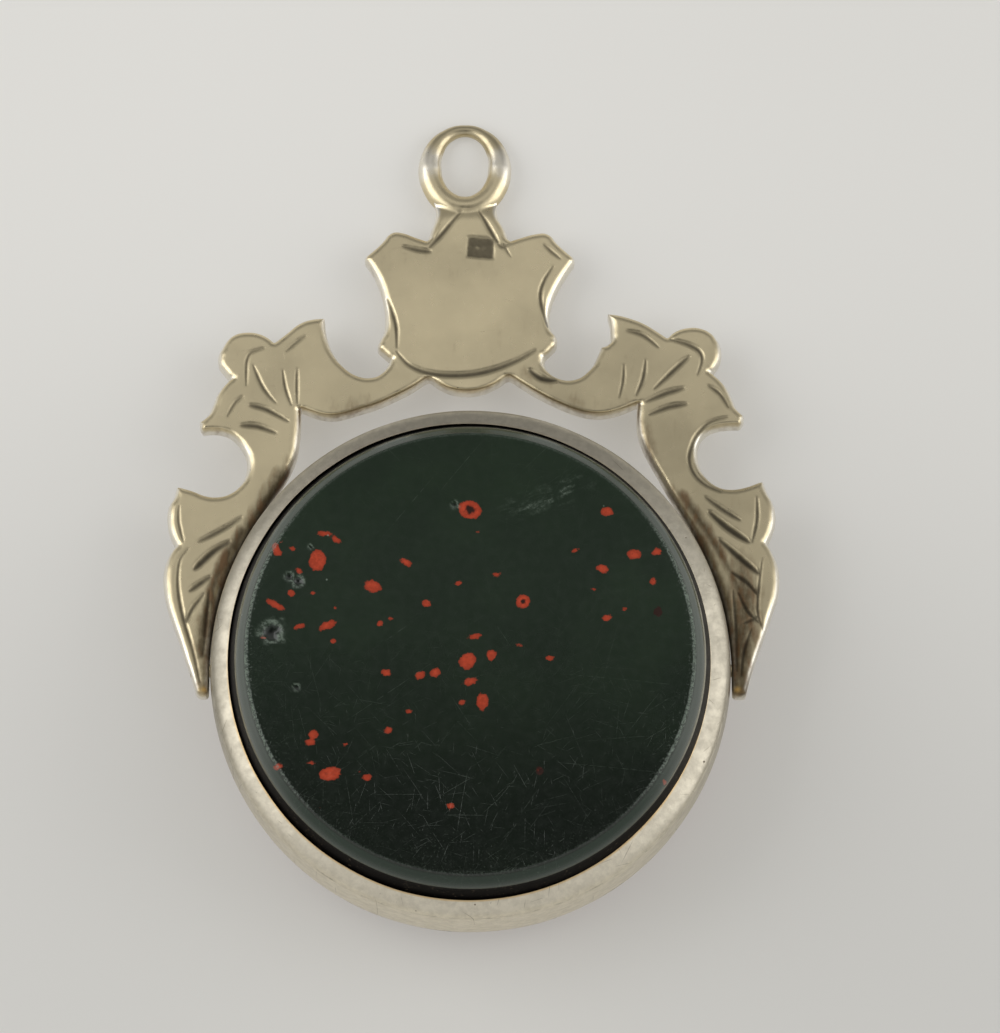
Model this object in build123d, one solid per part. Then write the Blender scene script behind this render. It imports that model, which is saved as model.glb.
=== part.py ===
from build123d import *
import math
import os

os.makedirs("parts", exist_ok=True)

# A swivel watch fob lies on a table. X is the swivel's axis, +Y points to the ring, +Z is up,
# and the origin is the middle of the flat face that the lower stone rests on.

# Sizes of the drum that holds the two stones, in millimetres
drum_radius = 12.1          # widest part of the band, at its middle
half_depth = 4.5            # from the middle of the drum to the flat of each stone
band_half_width = 1.9       # half of the band, up to its joint with each bezel
band_belly = 0.05           # how far the middle of the band swells past its edges
band_wall = 0.47            # sheet that the band is bent from

# Sizes of each bezel, heights counted from the middle of the drum
bezel_top = 2.6             # top of the lip
lip_wall = 0.14             # width of the lip's top edge
lip_turn_in = 0.1           # how far the lip is rubbed over the stone
lip_bend_drop = 0.5         # length of lip that is rubbed over
bezel_tongue_wall = 0.2     # thin wall that stands inside the band

# Sizes of the stones
stone_base = 1.1            # height of the stone's underside from the middle of the drum
stone_girdle = 1.0          # straight height of the girdle, hidden in the bezel
stone_reveal = 0.31         # dark groove between the lip and the foot of the bevel
stone_bevel_drop = 1.3      # height of the polished bevel
stone_bevel_width = 0.53    # width of the polished bevel
stone_corner = 0.08         # worn edge between flat and bevel

# Sizes of what the stones sit on
bearer_width = 1.1
bearer_height = 0.3

# Sizes of the yoke
leg_reach = 2.2             # widest point of a leg past the space that the drum sweeps
shield_rise = 9.9           # shoulders of the shield past the space that the drum sweeps
leg_tail = 1.5              # end of a leg past the swivel's axis
leg_end_width = 0.53
plate_thickness = 1.15
plate_edge_radius = 0.22    # softened by wear, front and back
saw_corner_radius = 0.25    # corners of the sawn outline
neck_half_width = 1.25
neck_rise = 1.27            # from the shield's shoulders to the ring's lowest wire centre

# Sizes of the ring, which is worn thin and long at its far end
ring_offset = 0.3           # how far the ring was soldered off the middle, towards the left leg
ring_hole_width = 2.33
ring_hole_length = 3.2
ring_wire = 1.06
ring_wire_worn = 0.56
ring_sections_per_half = 7

# Sizes of the swivel
pin_radius = 0.3
pin_short_of_bush = 0.42    # how far inside its bush a pin ends
pin_flush_inset = 0.1       # filed back from the leg's outer edge
bush_wall = 0.32
bush_length = 1.5

# Clearances
swing_clearance = 0.2       # between the drum's sweep and the legs
running_clearance = 0.03    # radial, pin in bush
solder_gap = 0.01           # joint between pieces of one body
stone_gap = 0.04            # round a stone's girdle
pin_end_gap = 0.15          # past the end of a pin
cut_overrun = 1.0

# Sizes that follow
sweep_radius = drum_radius + swing_clearance
band_edge_radius = drum_radius - band_belly
band_bore_radius = band_edge_radius - band_wall
tongue_radius = band_bore_radius - solder_gap
seat_radius = tongue_radius - bezel_tongue_wall
lip_radius = seat_radius - lip_turn_in
girdle_radius = seat_radius - stone_gap
bevel_foot_radius = lip_radius - stone_reveal
stone_table_radius = bevel_foot_radius - stone_bevel_width
bearer_top = stone_base - solder_gap
bearer_bottom = bearer_top - bearer_height
bearer_radius = seat_radius - solder_gap
core_half_height = bearer_bottom - solder_gap
core_radius = band_bore_radius - solder_gap
core_boss_radius = bearer_radius - bearer_width - solder_gap
core_boss_height = stone_base - solder_gap
bush_radius = pin_radius + running_clearance + bush_wall
bush_inner_end = band_bore_radius - bush_length
pin_inner_end = bush_inner_end + pin_short_of_bush
yoke_half_width = sweep_radius + leg_reach
yoke_height = sweep_radius + shield_rise
ring_base_y = yoke_height + neck_rise
ring_hole_bottom = ring_base_y + ring_wire / 2
ring_tip_y = ring_hole_bottom + ring_hole_length + ring_wire_worn / 2


def ring_stations():
    """Right half of the ring, from its seat to its worn end: middle, direction and wire of each section."""
    centre_y = (ring_base_y + ring_tip_y) / 2
    reach_x = (ring_hole_width + ring_wire) / 2
    reach_y = (ring_tip_y - ring_base_y) / 2
    stations = []
    for index in range(ring_sections_per_half):
        angle = math.pi * (index / (ring_sections_per_half - 1) - 0.5)
        wear = max(0.0, math.sin(angle)) ** 2
        wire = ring_wire + (ring_wire_worn - ring_wire) * wear
        centre = Vector(reach_x * math.cos(angle), centre_y + reach_y * math.sin(angle), 0)
        along = Vector(-reach_x * math.sin(angle), reach_y * math.cos(angle), 0)
        stations.append((centre, along, wire))
    return stations


# The ring rests on the table, which sets how far the yoke leans down
yoke_lean = math.degrees(math.asin(min((half_depth - wire / 2) / centre.Y
                                       for centre, _, wire in ring_stations())))


def place_drum(shape):
    """Lift a drum piece, modelled about its own middle, so the lower stone rests on the table."""
    return Pos(0, 0, half_depth) * shape


def place_yoke(shape):
    """Set a yoke piece, modelled flat about the swivel's axis, at its lean over the table."""
    return Pos(0, 0, half_depth) * Rot(-yoke_lean, 0, 0) * shape


def turned_over(shape):
    """The same drum piece for the other side, turned half way round the swivel's axis."""
    return Rot(180, 0, 0) * shape


def spun(*edges):
    """Spin a closed profile, drawn with X as radius and Z as height, round the drum's middle."""
    profile = make_face(Wire(list(edges)))
    return revolve(profile, Axis.Z, 360)


def rz(radius, height):
    return Vector(radius, 0, height)


def band_belly_arc():
    """Outer profile of the band, from its lower edge to its upper edge."""
    low, high = rz(band_edge_radius, -band_half_width), rz(band_edge_radius, band_half_width)
    return ThreePointArc(low, rz(drum_radius, 0), high)


def band():
    """Outer band: a bent strip with a slight belly, bored at both ends of the swivel's axis."""
    belly = band_belly_arc()
    low, high = belly @ 0, belly @ 1
    bore_low, bore_high = rz(band_bore_radius, -band_half_width), rz(band_bore_radius, band_half_width)
    ring = spun(
        belly,
        Line(high, bore_high),
        Line(bore_high, bore_low),
        Line(bore_low, low),
    )
    hole = Rot(0, 90, 0) * Cylinder(pin_radius + running_clearance, 2 * (drum_radius + cut_overrun))
    return ring - hole


def bezel():
    """Bezel: a tongue inside the band, a shoulder that carries on its belly and a rubbed-over lip."""
    shoulder_foot = rz(band_edge_radius, band_half_width)
    lip_outer = rz(lip_radius + lip_wall, bezel_top)
    bend = rz(seat_radius, bezel_top - lip_bend_drop)
    tongue_low = bearer_bottom
    return spun(
        TangentArc(shoulder_foot, lip_outer, tangent=band_belly_arc() % 1),
        Line(lip_outer, rz(lip_radius, bezel_top)),
        Line(rz(lip_radius, bezel_top), bend),
        Line(bend, rz(seat_radius, tongue_low)),
        Line(rz(seat_radius, tongue_low), rz(tongue_radius, tongue_low)),
        Line(rz(tongue_radius, tongue_low), rz(tongue_radius, band_half_width)),
        Line(rz(tongue_radius, band_half_width), shoulder_foot),
    )


def stone():
    """Stone tablet: hidden girdle, sloping shoulder under the lip, polished bevel and flat top."""
    girdle_top = stone_base + stone_girdle
    bevel_foot = half_depth - stone_bevel_drop
    tablet = spun(
        Line(rz(0, stone_base), rz(girdle_radius, stone_base)),
        Line(rz(girdle_radius, stone_base), rz(girdle_radius, girdle_top)),
        Line(rz(girdle_radius, girdle_top), rz(bevel_foot_radius, bevel_foot)),
        Line(rz(bevel_foot_radius, bevel_foot), rz(stone_table_radius, half_depth)),
        Line(rz(stone_table_radius, half_depth), rz(0, half_depth)),
        Line(rz(0, half_depth), rz(0, stone_base)),
    )
    table_edge = tablet.edges().filter_by(GeomType.CIRCLE).sort_by(Axis.Z)[-1]
    return fillet(table_edge, stone_corner)


def bearer():
    """Bearer: the flat ring inside a bezel that a stone sits on."""
    ring = Cylinder(bearer_radius, bearer_height) - Cylinder(bearer_radius - bearer_width,
                                                             bearer_height + cut_overrun)
    return Pos(0, 0, bearer_bottom + bearer_height / 2) * ring


def rod_along_x(radius, inner_end, outer_end):
    """A rod along +X from one distance to another from the drum's middle."""
    return Pos((inner_end + outer_end) / 2, 0, 0) * Rot(0, 90, 0) * Cylinder(radius, outer_end - inner_end)


def core():
    """Cement bed between the stones: a disc with a boss each side, hollowed for the bushes."""
    bed = Cylinder(core_radius, 2 * core_half_height) + Cylinder(core_boss_radius, 2 * core_boss_height)
    end = drum_radius + cut_overrun
    for turn in (0, 180):
        room = rod_along_x(bush_radius + solder_gap, bush_inner_end - solder_gap, end)
        room += rod_along_x(pin_radius + running_clearance, pin_inner_end - pin_end_gap, end)
        bed -= Rot(0, 0, turn) * room
    return bed


def bush():
    """Bush: a short tube soldered inside the band, in which a pin turns."""
    tube = rod_along_x(bush_radius, bush_inner_end, drum_radius)
    tube -= rod_along_x(pin_radius + running_clearance, bush_inner_end - cut_overrun, drum_radius + cut_overrun)
    return tube & Cylinder(band_bore_radius - solder_gap, 2 * (bush_radius + cut_overrun))


def arch_point(x_share, y_share):
    """A point of the yoke's outline, in shares of its half width and of its height."""
    return (x_share * yoke_half_width, y_share * yoke_height)


def leg_point(x_share, y_share):
    """A point of a leg's outer edge: how much of the leg's reach lies outside the drum's sweep."""
    return (sweep_radius + x_share * leg_reach, y_share * yoke_height)


# Strokes of the right half of the yoke's outline, from the neck down to the leg's end.
# Each stroke is one smooth curve, and strokes meet at the corners that the saw left.
shield_shoulder_shares = [(0.130, 0.980), (0.180, 0.990), (0.248, 1.000), (0.297, 0.968), (0.341, 0.932)]
shield_side_shares = [(0.341, 0.932), (0.293, 0.869), (0.274, 0.815), (0.276, 0.772), (0.297, 0.738),
                      (0.271, 0.703)]
saddle_shares = [(0.271, 0.703), (0.303, 0.670), (0.365, 0.664), (0.413, 0.686), (0.446, 0.730),
                 (0.470, 0.790)]
leaf_tip_shares = [(0.470, 0.790), (0.492, 0.802), (0.530, 0.800), (0.590, 0.779), (0.645, 0.752)]
lobe_shares = [(0.645, 0.752), (0.690, 0.773), (0.741, 0.776), (0.793, 0.757), (0.811, 0.721),
               (0.803, 0.684), (0.786, 0.662)]
pointed_leaf_shares = [(0.786, 0.662), (0.824, 0.632), (0.855, 0.590), (0.876, 0.550)]
scroll_shares = [(0.876, 0.550), (0.806, 0.541), (0.761, 0.512), (0.734, 0.477), (0.744, 0.443),
                 (0.779, 0.412), (0.834, 0.399), (0.900, 0.408), (0.946, 0.416)]
leg_leaf_shares = [(0.668, 0.416), (0.818, 0.369), (0.835, 0.310), (0.718, 0.279)]
leg_at_pin_share = 0.405    # width of the leg where the pin passes through it
leg_blade_shares = [(0.718, 0.279), (0.909, 0.250), (1.000, 0.203), (0.940, 0.149), (0.727, 0.095),
                    (leg_at_pin_share, 0), (0.286, -0.041)]

# Strokes of the window between yoke and drum, from the leg's inner arc up to the shield's lobe
window_start_angle = 44.5
window_side_shares = [(0.572, 0.466), (0.555, 0.509), (0.548, 0.590)]
window_top_shares = [(0.548, 0.590), (0.490, 0.578), (0.428, 0.573), (0.306, 0.592), (0.214, 0.622),
                     (0.131, 0.651)]
lobe_low_share = 0.628      # height of the shield's lowest point, on the middle line


def stroke(points):
    return Spline(*[Vector(x, y) for x, y in points])


def neck_face():
    """Neck: rises from the middle of the shield's top and leans over to the ring."""
    foot_x, foot_y = arch_point(*shield_shoulder_shares[0])
    top_y = ring_base_y - ring_wire / 4
    waist_y = yoke_height + neck_rise / 2
    left, right = -ring_offset - neck_half_width, -ring_offset + neck_half_width
    outline = [
        Line(Vector(-foot_x, foot_y), Vector(foot_x, foot_y)),
        stroke([(foot_x, foot_y), (right, waist_y), (right, top_y)]),
        Line(Vector(right, top_y), Vector(left, top_y)),
        stroke([(left, top_y), (left, waist_y), (-foot_x, foot_y)]),
    ]
    return make_face(Wire(outline))


def yoke_half_face():
    """Right half of the yoke below its neck, bounded by the middle line."""
    neck_foot = arch_point(*shield_shoulder_shares[0])
    leg_angle = math.degrees(math.asin(leg_tail / sweep_radius))
    tail_inner = Vector(sweep_radius * math.cos(math.radians(leg_angle)), -leg_tail)
    tail_outer = Vector(tail_inner.X + leg_end_width, -leg_tail)
    start = math.radians(window_start_angle)
    window_start = Vector(sweep_radius * math.cos(start), sweep_radius * math.sin(start))
    middle = math.radians((window_start_angle - leg_angle) / 2)
    arc_middle = Vector(sweep_radius * math.cos(middle), sweep_radius * math.sin(middle))
    lobe_low = (0, lobe_low_share * yoke_height)
    blade = [leg_point(*share) for share in leg_blade_shares]
    leaf = [arch_point(*scroll_shares[-1])] + [leg_point(*share) for share in leg_leaf_shares[1:]]
    side = [(window_start.X, window_start.Y)] + [arch_point(*share) for share in window_side_shares]
    cusp = arch_point(*window_top_shares[-1])
    lobe_edge = ThreePointArc(Vector(*cusp), Vector(*lobe_low), Vector(-cusp[0], cusp[1]))
    lobe_half = lobe_edge.trim(0, 0.5)
    outline = [
        Line(Vector(0, neck_foot[1]), Vector(*neck_foot)),
        stroke([arch_point(*share) for share in shield_shoulder_shares]),
        stroke([arch_point(*share) for share in shield_side_shares]),
        stroke([arch_point(*share) for share in saddle_shares]),
        stroke([arch_point(*share) for share in leaf_tip_shares]),
        stroke([arch_point(*share) for share in lobe_shares]),
        stroke([arch_point(*share) for share in pointed_leaf_shares]),
        stroke([arch_point(*share) for share in scroll_shares]),
        stroke(leaf),
        stroke(blade),
        Line(Vector(*blade[-1]), tail_outer),
        Line(tail_outer, tail_inner),
        ThreePointArc(tail_inner, arc_middle, window_start),
        stroke(side),
        stroke([arch_point(*share) for share in window_top_shares]),
        lobe_half,
        Line(lobe_half @ 1, Vector(0, neck_foot[1])),
    ]
    return make_face(Wire(outline))


def yoke_plate(ring):
    """Yoke: a sawn plate with softened edges, bored for the pins and seated on the ring."""
    half = yoke_half_face()
    sawn = (half + mirror(half, Plane.YZ) + neck_face()).face()
    outline = fillet(sawn.vertices(), saw_corner_radius)
    blank = Pos(0, 0, -plate_thickness / 2) * extrude(outline.face(), plate_thickness)
    faces = blank.faces().sort_by(Axis.Z)
    plate = fillet(faces[0].edges() + faces[-1].edges(), plate_edge_radius)
    pin_hole = Rot(0, 90, 0) * Cylinder(pin_radius + solder_gap, 2 * (yoke_half_width + cut_overrun))
    return plate - pin_hole - ring


def ring_half():
    """Right half of the ring: round sections along an oval, thinner towards the worn end."""
    sections = []
    for centre, along, wire in ring_stations():
        sections.append(Plane(centre, x_dir=Vector(0, 0, 1), z_dir=along) * Circle(wire / 2))
    return loft(sections)


def suspension_ring():
    """Ring: soldered upright on the neck, in the plane of the yoke."""
    half = ring_half()
    return Pos(-ring_offset, 0, 0) * (half + mirror(half, Plane.YZ))


def pin():
    """Pin: riveted flush with the outer edge of the leg and free to turn in the bush."""
    leg_outer_x, _ = leg_point(leg_at_pin_share, 0)
    return rod_along_x(pin_radius, pin_inner_end, leg_outer_x - pin_flush_inset)


def write(node, shape):
    export_step(shape, f"parts/{node}.step")


ring_flat = suspension_ring()
right_bush = bush()
right_pin = pin()
front_bezel, front_stone, front_bearer = bezel(), stone(), bearer()

write("yoke_plate", place_yoke(yoke_plate(ring_flat)))
write("suspension_ring", place_yoke(ring_flat))
write("right_pivot_pin", place_yoke(right_pin))
write("left_pivot_pin", place_yoke(mirror(right_pin, Plane.YZ)))
write("rim_band", place_drum(band()))
write("front_bezel", place_drum(front_bezel))
write("back_bezel", place_drum(turned_over(front_bezel)))
write("front_stone", place_drum(front_stone))
write("back_stone", place_drum(turned_over(front_stone)))
write("front_bearer", place_drum(front_bearer))
write("back_bearer", place_drum(turned_over(front_bearer)))
write("cement_core", place_drum(core()))
write("right_pivot_bush", place_drum(right_bush))
write("left_pivot_bush", place_drum(mirror(right_bush, Plane.YZ)))
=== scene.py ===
import math

import bmesh
import bpy
from bpy.props import FloatProperty, FloatVectorProperty, IntProperty, PointerProperty
from mathutils import Matrix, Vector, geometry, kdtree, noise


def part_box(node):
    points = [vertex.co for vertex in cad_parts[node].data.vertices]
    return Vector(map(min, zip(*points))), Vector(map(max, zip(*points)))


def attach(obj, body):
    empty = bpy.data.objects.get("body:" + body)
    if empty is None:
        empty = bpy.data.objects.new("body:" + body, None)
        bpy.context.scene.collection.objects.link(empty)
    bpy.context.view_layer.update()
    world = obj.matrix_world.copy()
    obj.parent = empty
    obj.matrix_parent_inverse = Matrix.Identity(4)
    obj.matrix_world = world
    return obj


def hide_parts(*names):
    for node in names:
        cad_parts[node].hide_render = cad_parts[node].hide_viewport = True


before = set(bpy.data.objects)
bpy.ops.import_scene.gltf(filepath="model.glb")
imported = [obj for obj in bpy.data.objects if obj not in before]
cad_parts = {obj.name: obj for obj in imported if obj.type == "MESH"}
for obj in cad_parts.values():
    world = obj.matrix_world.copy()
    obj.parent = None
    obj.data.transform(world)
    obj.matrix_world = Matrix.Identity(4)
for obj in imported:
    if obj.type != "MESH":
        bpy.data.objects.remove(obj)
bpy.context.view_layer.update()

bl_info = {
    "name": "Swivel watch fob",
    "version": (1, 0, 0),
    "blender": (4, 5, 0),
    "location": "3D View > Sidebar > Fob",
    "description": "Silver swivel fob with two stone tablets, dressed over its CAD frame",
    "category": "Object",
}

MM = 0.001

# Where the frame puts the drum, the stones and the swivel's axis
band_low, band_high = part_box("rim_band")
stone_low, stone_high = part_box("front_stone")
AXIS_HEIGHT = (band_low.z + band_high.z) / 2
AXIS = Vector((0, 0, AXIS_HEIGHT))

# How high over the axis, in millimetres, the plate starts to thin under the ring's solder, and over what length
NECK_START, NECK_LENGTH = 22.5, 1.1

# The camera looks down on the fob from its lower end. Its lens takes in 47 mm at the fob.
CAMERA_LEAN = math.radians(12)
CAMERA_TARGET = Vector((1.38, 7.39, 4.5)) * MM
CAMERA_DISTANCE = 0.4
SENSOR = 36
FOCAL_LENGTH = SENSOR * 8.52

# The lamps face this place
FOB_MIDDLE = Vector((0, 6 * MM, 4 * MM))


# Outline of the yoke, seen flat, in millimetres from the swivel's axis. Each stroke starts at a
# corner that the saw left and runs on as one smooth curve to the corner that starts the next.
YOKE_STROKES = [
    # right side, from the neck down to the leg's end
    [(1.24, 23.70), (1.21, 23.22), (1.28, 22.80), (1.60, 22.22)],
    [(1.82, 21.62), (2.33, 21.80), (3.10, 22.02), (3.62, 22.02), (4.20, 21.38)],
    [(4.99, 20.66), (4.55, 20.00), (4.14, 19.25), (3.83, 18.45), (3.71, 17.58), (3.84, 17.00), (4.08, 16.62),
     (4.06, 16.34), (3.82, 16.04)],
    [(3.50, 15.72), (3.55, 15.10), (4.10, 14.62), (4.98, 14.56), (5.64, 15.05), (5.98, 15.70)],
    [(6.17, 16.18), (6.56, 16.36), (6.62, 16.95), (6.58, 17.49)],
    [(6.47, 17.90), (6.98, 17.84), (7.43, 17.72), (8.14, 17.44), (8.80, 17.02)],
    [(9.32, 16.64), (9.68, 16.98), (10.27, 17.19), (10.87, 17.17), (11.36, 16.92), (11.69, 16.52), (11.86, 16.10),
     (11.86, 15.70), (11.70, 15.30)],
    [(11.38, 14.88), (11.82, 14.46), (12.16, 14.00), (12.40, 13.45), (12.60, 12.98)],
    [(12.98, 12.60)],
    [(12.80, 12.22), (12.26, 12.22), (11.60, 12.12), (11.08, 11.84), (10.78, 11.38), (10.70, 10.74),
     (10.82, 10.05), (11.12, 9.52), (11.62, 9.12), (12.21, 8.98), (12.92, 9.08)],
    [(13.76, 9.40), (14.00, 8.74), (14.26, 8.19), (14.35, 7.56), (14.22, 6.91)],
    [(13.92, 6.24), (14.24, 5.64), (14.44, 5.03), (14.49, 4.39), (14.42, 3.69), (14.20, 3.00), (13.88, 2.05),
     (13.54, 1.05), (13.24, 0.17), (12.99, -0.71)],
    [(12.84, -1.36)],
    # the right leg's inner edge, and on along the window
    [(12.24, -1.36), (12.21, -0.60), (12.21, 0.40), (12.10, 1.70), (11.78, 3.40), (11.24, 5.05), (10.62, 6.45),
     (10.00, 7.62), (9.42, 8.60), (8.86, 9.66), (8.36, 10.62), (8.02, 11.40), (7.86, 12.10), (7.84, 12.70)],
    [(7.92, 13.36), (7.06, 12.98), (6.35, 12.80), (5.64, 12.80), (4.93, 12.98), (4.08, 13.34), (3.28, 13.76),
     (2.50, 14.25)],
    [(1.80, 14.74), (1.14, 14.28), (0.43, 13.99), (-0.18, 13.92), (-0.85, 14.00), (-1.42, 14.24)],
    [(-2.00, 14.66), (-2.79, 14.10), (-3.60, 13.66), (-4.40, 13.28), (-5.25, 13.00), (-5.91, 12.78),
     (-6.43, 12.68), (-6.90, 12.70), (-7.38, 12.83)],
    [(-8.04, 13.10), (-8.02, 12.30), (-8.08, 11.55), (-8.16, 10.92), (-8.34, 10.30), (-8.68, 9.58), (-9.15, 8.84),
     (-9.82, 7.72), (-10.40, 6.72), (-11.18, 5.15), (-11.76, 3.45), (-12.10, 1.70), (-12.21, 0.30), (-12.21, -0.60)],
    # left side, from the leg's end up to the neck
    [(-12.24, -1.34)],
    [(-12.76, -1.34), (-13.02, -0.40), (-13.35, 0.55), (-13.63, 1.42), (-13.98, 2.42), (-14.27, 3.33),
     (-14.39, 4.03), (-14.42, 4.62), (-14.34, 5.14), (-14.16, 5.62)],
    [(-13.84, 6.14), (-14.14, 6.76), (-14.27, 7.44), (-14.22, 8.05), (-13.99, 8.50)],
    [(-13.84, 9.12), (-13.10, 8.90), (-12.51, 8.66), (-11.92, 8.60), (-11.33, 8.76), (-10.85, 9.16),
     (-10.58, 9.80), (-10.56, 10.49), (-10.76, 11.06), (-11.13, 11.57), (-11.55, 11.88), (-12.12, 11.99)],
    [(-12.74, 11.94)],
    [(-12.88, 12.32), (-12.48, 12.62), (-12.24, 13.10), (-12.05, 13.64), (-11.75, 14.12)],
    [(-11.36, 14.56), (-11.69, 14.98), (-11.95, 15.38), (-11.97, 15.72), (-11.82, 16.08), (-11.56, 16.50),
     (-11.19, 16.83), (-10.67, 16.96), (-10.12, 16.91), (-9.67, 16.70)],
    [(-9.32, 16.40), (-8.72, 16.90), (-8.16, 17.38), (-7.64, 17.60)],
    [(-6.93, 17.68), (-6.88, 17.05), (-6.72, 16.35), (-6.46, 15.75), (-6.01, 15.15), (-5.34, 14.72), (-4.68, 14.65),
     (-4.16, 14.90)],
    [(-3.80, 15.56), (-4.15, 15.90), (-4.42, 16.22), (-4.34, 16.45), (-4.14, 16.90), (-4.06, 17.70),
     (-4.18, 18.70), (-4.46, 19.64), (-4.80, 20.30)],
    [(-5.10, 20.72), (-4.34, 21.42), (-3.74, 22.08), (-3.30, 22.08), (-2.67, 21.84)],
    [(-2.06, 21.62), (-1.92, 22.10), (-1.70, 22.75), (-1.64, 23.20)],
    [(-1.80, 23.70), (-1.28, 23.82), (-0.70, 23.86), (-0.20, 23.87), (0.30, 23.85), (0.78, 23.80)],
]

# Cuts of the graver on the front, in millimetres: width of the cut, where along it the cut is widest
# as a share of its length, and the points that it passes.
GRAVER_CUTS = [
    (0.34, 0.6, [(-0.44, 23.14), (-0.91, 22.52), (-1.48, 21.79), (-1.99, 21.20)]),
    (0.30, 0.3, [(-1.90, 21.00), (-2.52, 21.08), (-3.28, 21.28)]),
    (0.34, 0.7, [(0.36, 23.14), (0.62, 22.67), (1.00, 21.95), (1.30, 21.43)]),
    (0.24, 0.5, [(1.24, 21.40), (1.52, 21.23), (1.80, 21.40)]),
    (0.20, 0.3, [(1.52, 21.43), (1.71, 21.02), (1.90, 20.71)]),
    (0.24, 0.5, [(3.43, 21.38), (3.81, 21.02), (4.28, 20.61)]),
    (0.33, 0.5, [(3.92, 20.25), (3.52, 19.58), (3.30, 18.86), (3.37, 18.09), (3.64, 17.15)]),
    (0.33, 0.5, [(-3.98, 18.60), (-3.70, 17.79), (-3.55, 17.07), (-3.52, 16.05)]),
    (0.37, 0.5, [(-3.56, 15.90), (-2.98, 15.23), (-2.17, 14.83), (-1.13, 14.67), (0.06, 14.72), (1.14, 14.98),
                 (2.23, 15.44), (3.12, 15.98)]),
    (0.42, 0.6, [(2.75, 14.95), (3.32, 14.52), (4.05, 14.40)]),
    (0.25, 0.6, [(-9.75, 16.06), (-10.37, 15.84), (-10.60, 15.44), (-10.64, 14.83), (-10.63, 14.11)]),
    (0.22, 0.5, [(-7.80, 16.70), (-8.24, 16.36), (-8.78, 15.86)]),
    (0.27, 0.4, [(-10.33, 15.20), (-9.97, 14.32), (-9.64, 13.76), (-9.20, 13.24)]),
    (0.26, 0.5, [(-8.92, 14.95), (-8.79, 14.06), (-8.48, 13.12)]),
    (0.26, 0.5, [(-8.22, 15.02), (-8.24, 14.16), (-8.21, 13.20)]),
    (0.32, 0.3, [(-10.46, 13.16), (-9.67, 12.94), (-8.60, 12.32)]),
    (0.34, 0.4, [(-10.88, 12.12), (-10.09, 12.08), (-9.18, 11.74)]),
    (0.24, 0.5, [(-10.76, 13.62), (-11.14, 13.25), (-11.52, 12.54)]),
    (0.26, 0.5, [(7.36, 16.95), (8.16, 16.71), (8.92, 16.06)]),
    (0.30, 0.5, [(9.42, 16.50), (10.24, 16.25), (10.81, 15.90), (10.94, 15.39), (10.72, 14.66)]),
    (0.26, 0.5, [(7.25, 15.22), (7.20, 14.37), (7.02, 13.50)]),
    (0.31, 0.5, [(8.28, 15.45), (8.15, 14.52), (7.82, 13.62)]),
    (0.34, 0.4, [(10.34, 15.62), (9.71, 15.03), (8.66, 13.96)]),
    (0.33, 0.4, [(10.10, 14.03), (9.23, 13.76), (8.26, 13.32)]),
    (0.32, 0.4, [(10.24, 13.22), (9.32, 13.05), (8.40, 12.66)]),
    (0.27, 0.5, [(11.20, 14.16), (11.78, 13.71), (12.18, 13.00)]),
    (0.30, 0.5, [(12.15, 12.55), (11.34, 12.30), (10.76, 11.76), (10.42, 11.08), (10.30, 10.41), (10.50, 9.72),
                 (11.00, 9.15), (11.80, 8.74)]),
    (0.24, 0.5, [(-13.73, 8.09), (-13.74, 7.29), (-13.50, 6.24)]),
    (0.30, 0.6, [(-10.74, 7.50), (-11.40, 7.03), (-12.06, 6.63), (-12.80, 6.24)]),
    (0.44, 0.7, [(-11.30, 6.26), (-12.05, 5.78), (-12.96, 4.88)]),
    (0.34, 0.6, [(-12.18, 4.52), (-12.64, 4.18), (-13.18, 3.78)]),
    (0.30, 0.6, [(-12.46, 3.66), (-13.00, 2.93), (-13.34, 2.15)]),
    (0.29, 0.5, [(-13.24, 5.92), (-13.64, 5.33), (-13.74, 4.43), (-13.67, 3.53), (-13.42, 2.33), (-12.99, 0.84),
                 (-12.62, -0.80)]),
    (0.26, 0.5, [(-12.26, 3.83), (-12.36, 2.33), (-12.50, 0.60)]),
    (0.30, 0.5, [(13.47, 8.50), (13.46, 7.34), (13.22, 6.20)]),
    (0.30, 0.6, [(11.00, 8.52), (11.84, 7.89), (12.70, 7.32)]),
    (0.46, 0.6, [(11.20, 7.76), (12.07, 6.96), (13.08, 6.24)]),
    (0.42, 0.6, [(11.66, 6.38), (12.64, 5.45), (13.52, 4.66)]),
    (0.34, 0.5, [(12.22, 4.74), (12.98, 4.20), (13.42, 3.62)]),
    (0.30, 0.5, [(12.54, 3.70), (12.95, 2.83), (13.48, 2.22)]),
    (0.26, 0.5, [(12.76, 2.18), (13.13, 2.33), (13.50, 2.56)]),
    (0.25, 0.5, [(13.70, 5.40), (13.55, 4.33), (13.44, 2.83), (13.70, 1.78)]),
    (0.26, 0.5, [(13.17, 1.93), (12.80, 0.84), (12.64, -0.50)]),
    (0.28, 0.5, [(12.30, 3.83), (12.42, 1.83), (12.44, -0.25)]),
]

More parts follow.
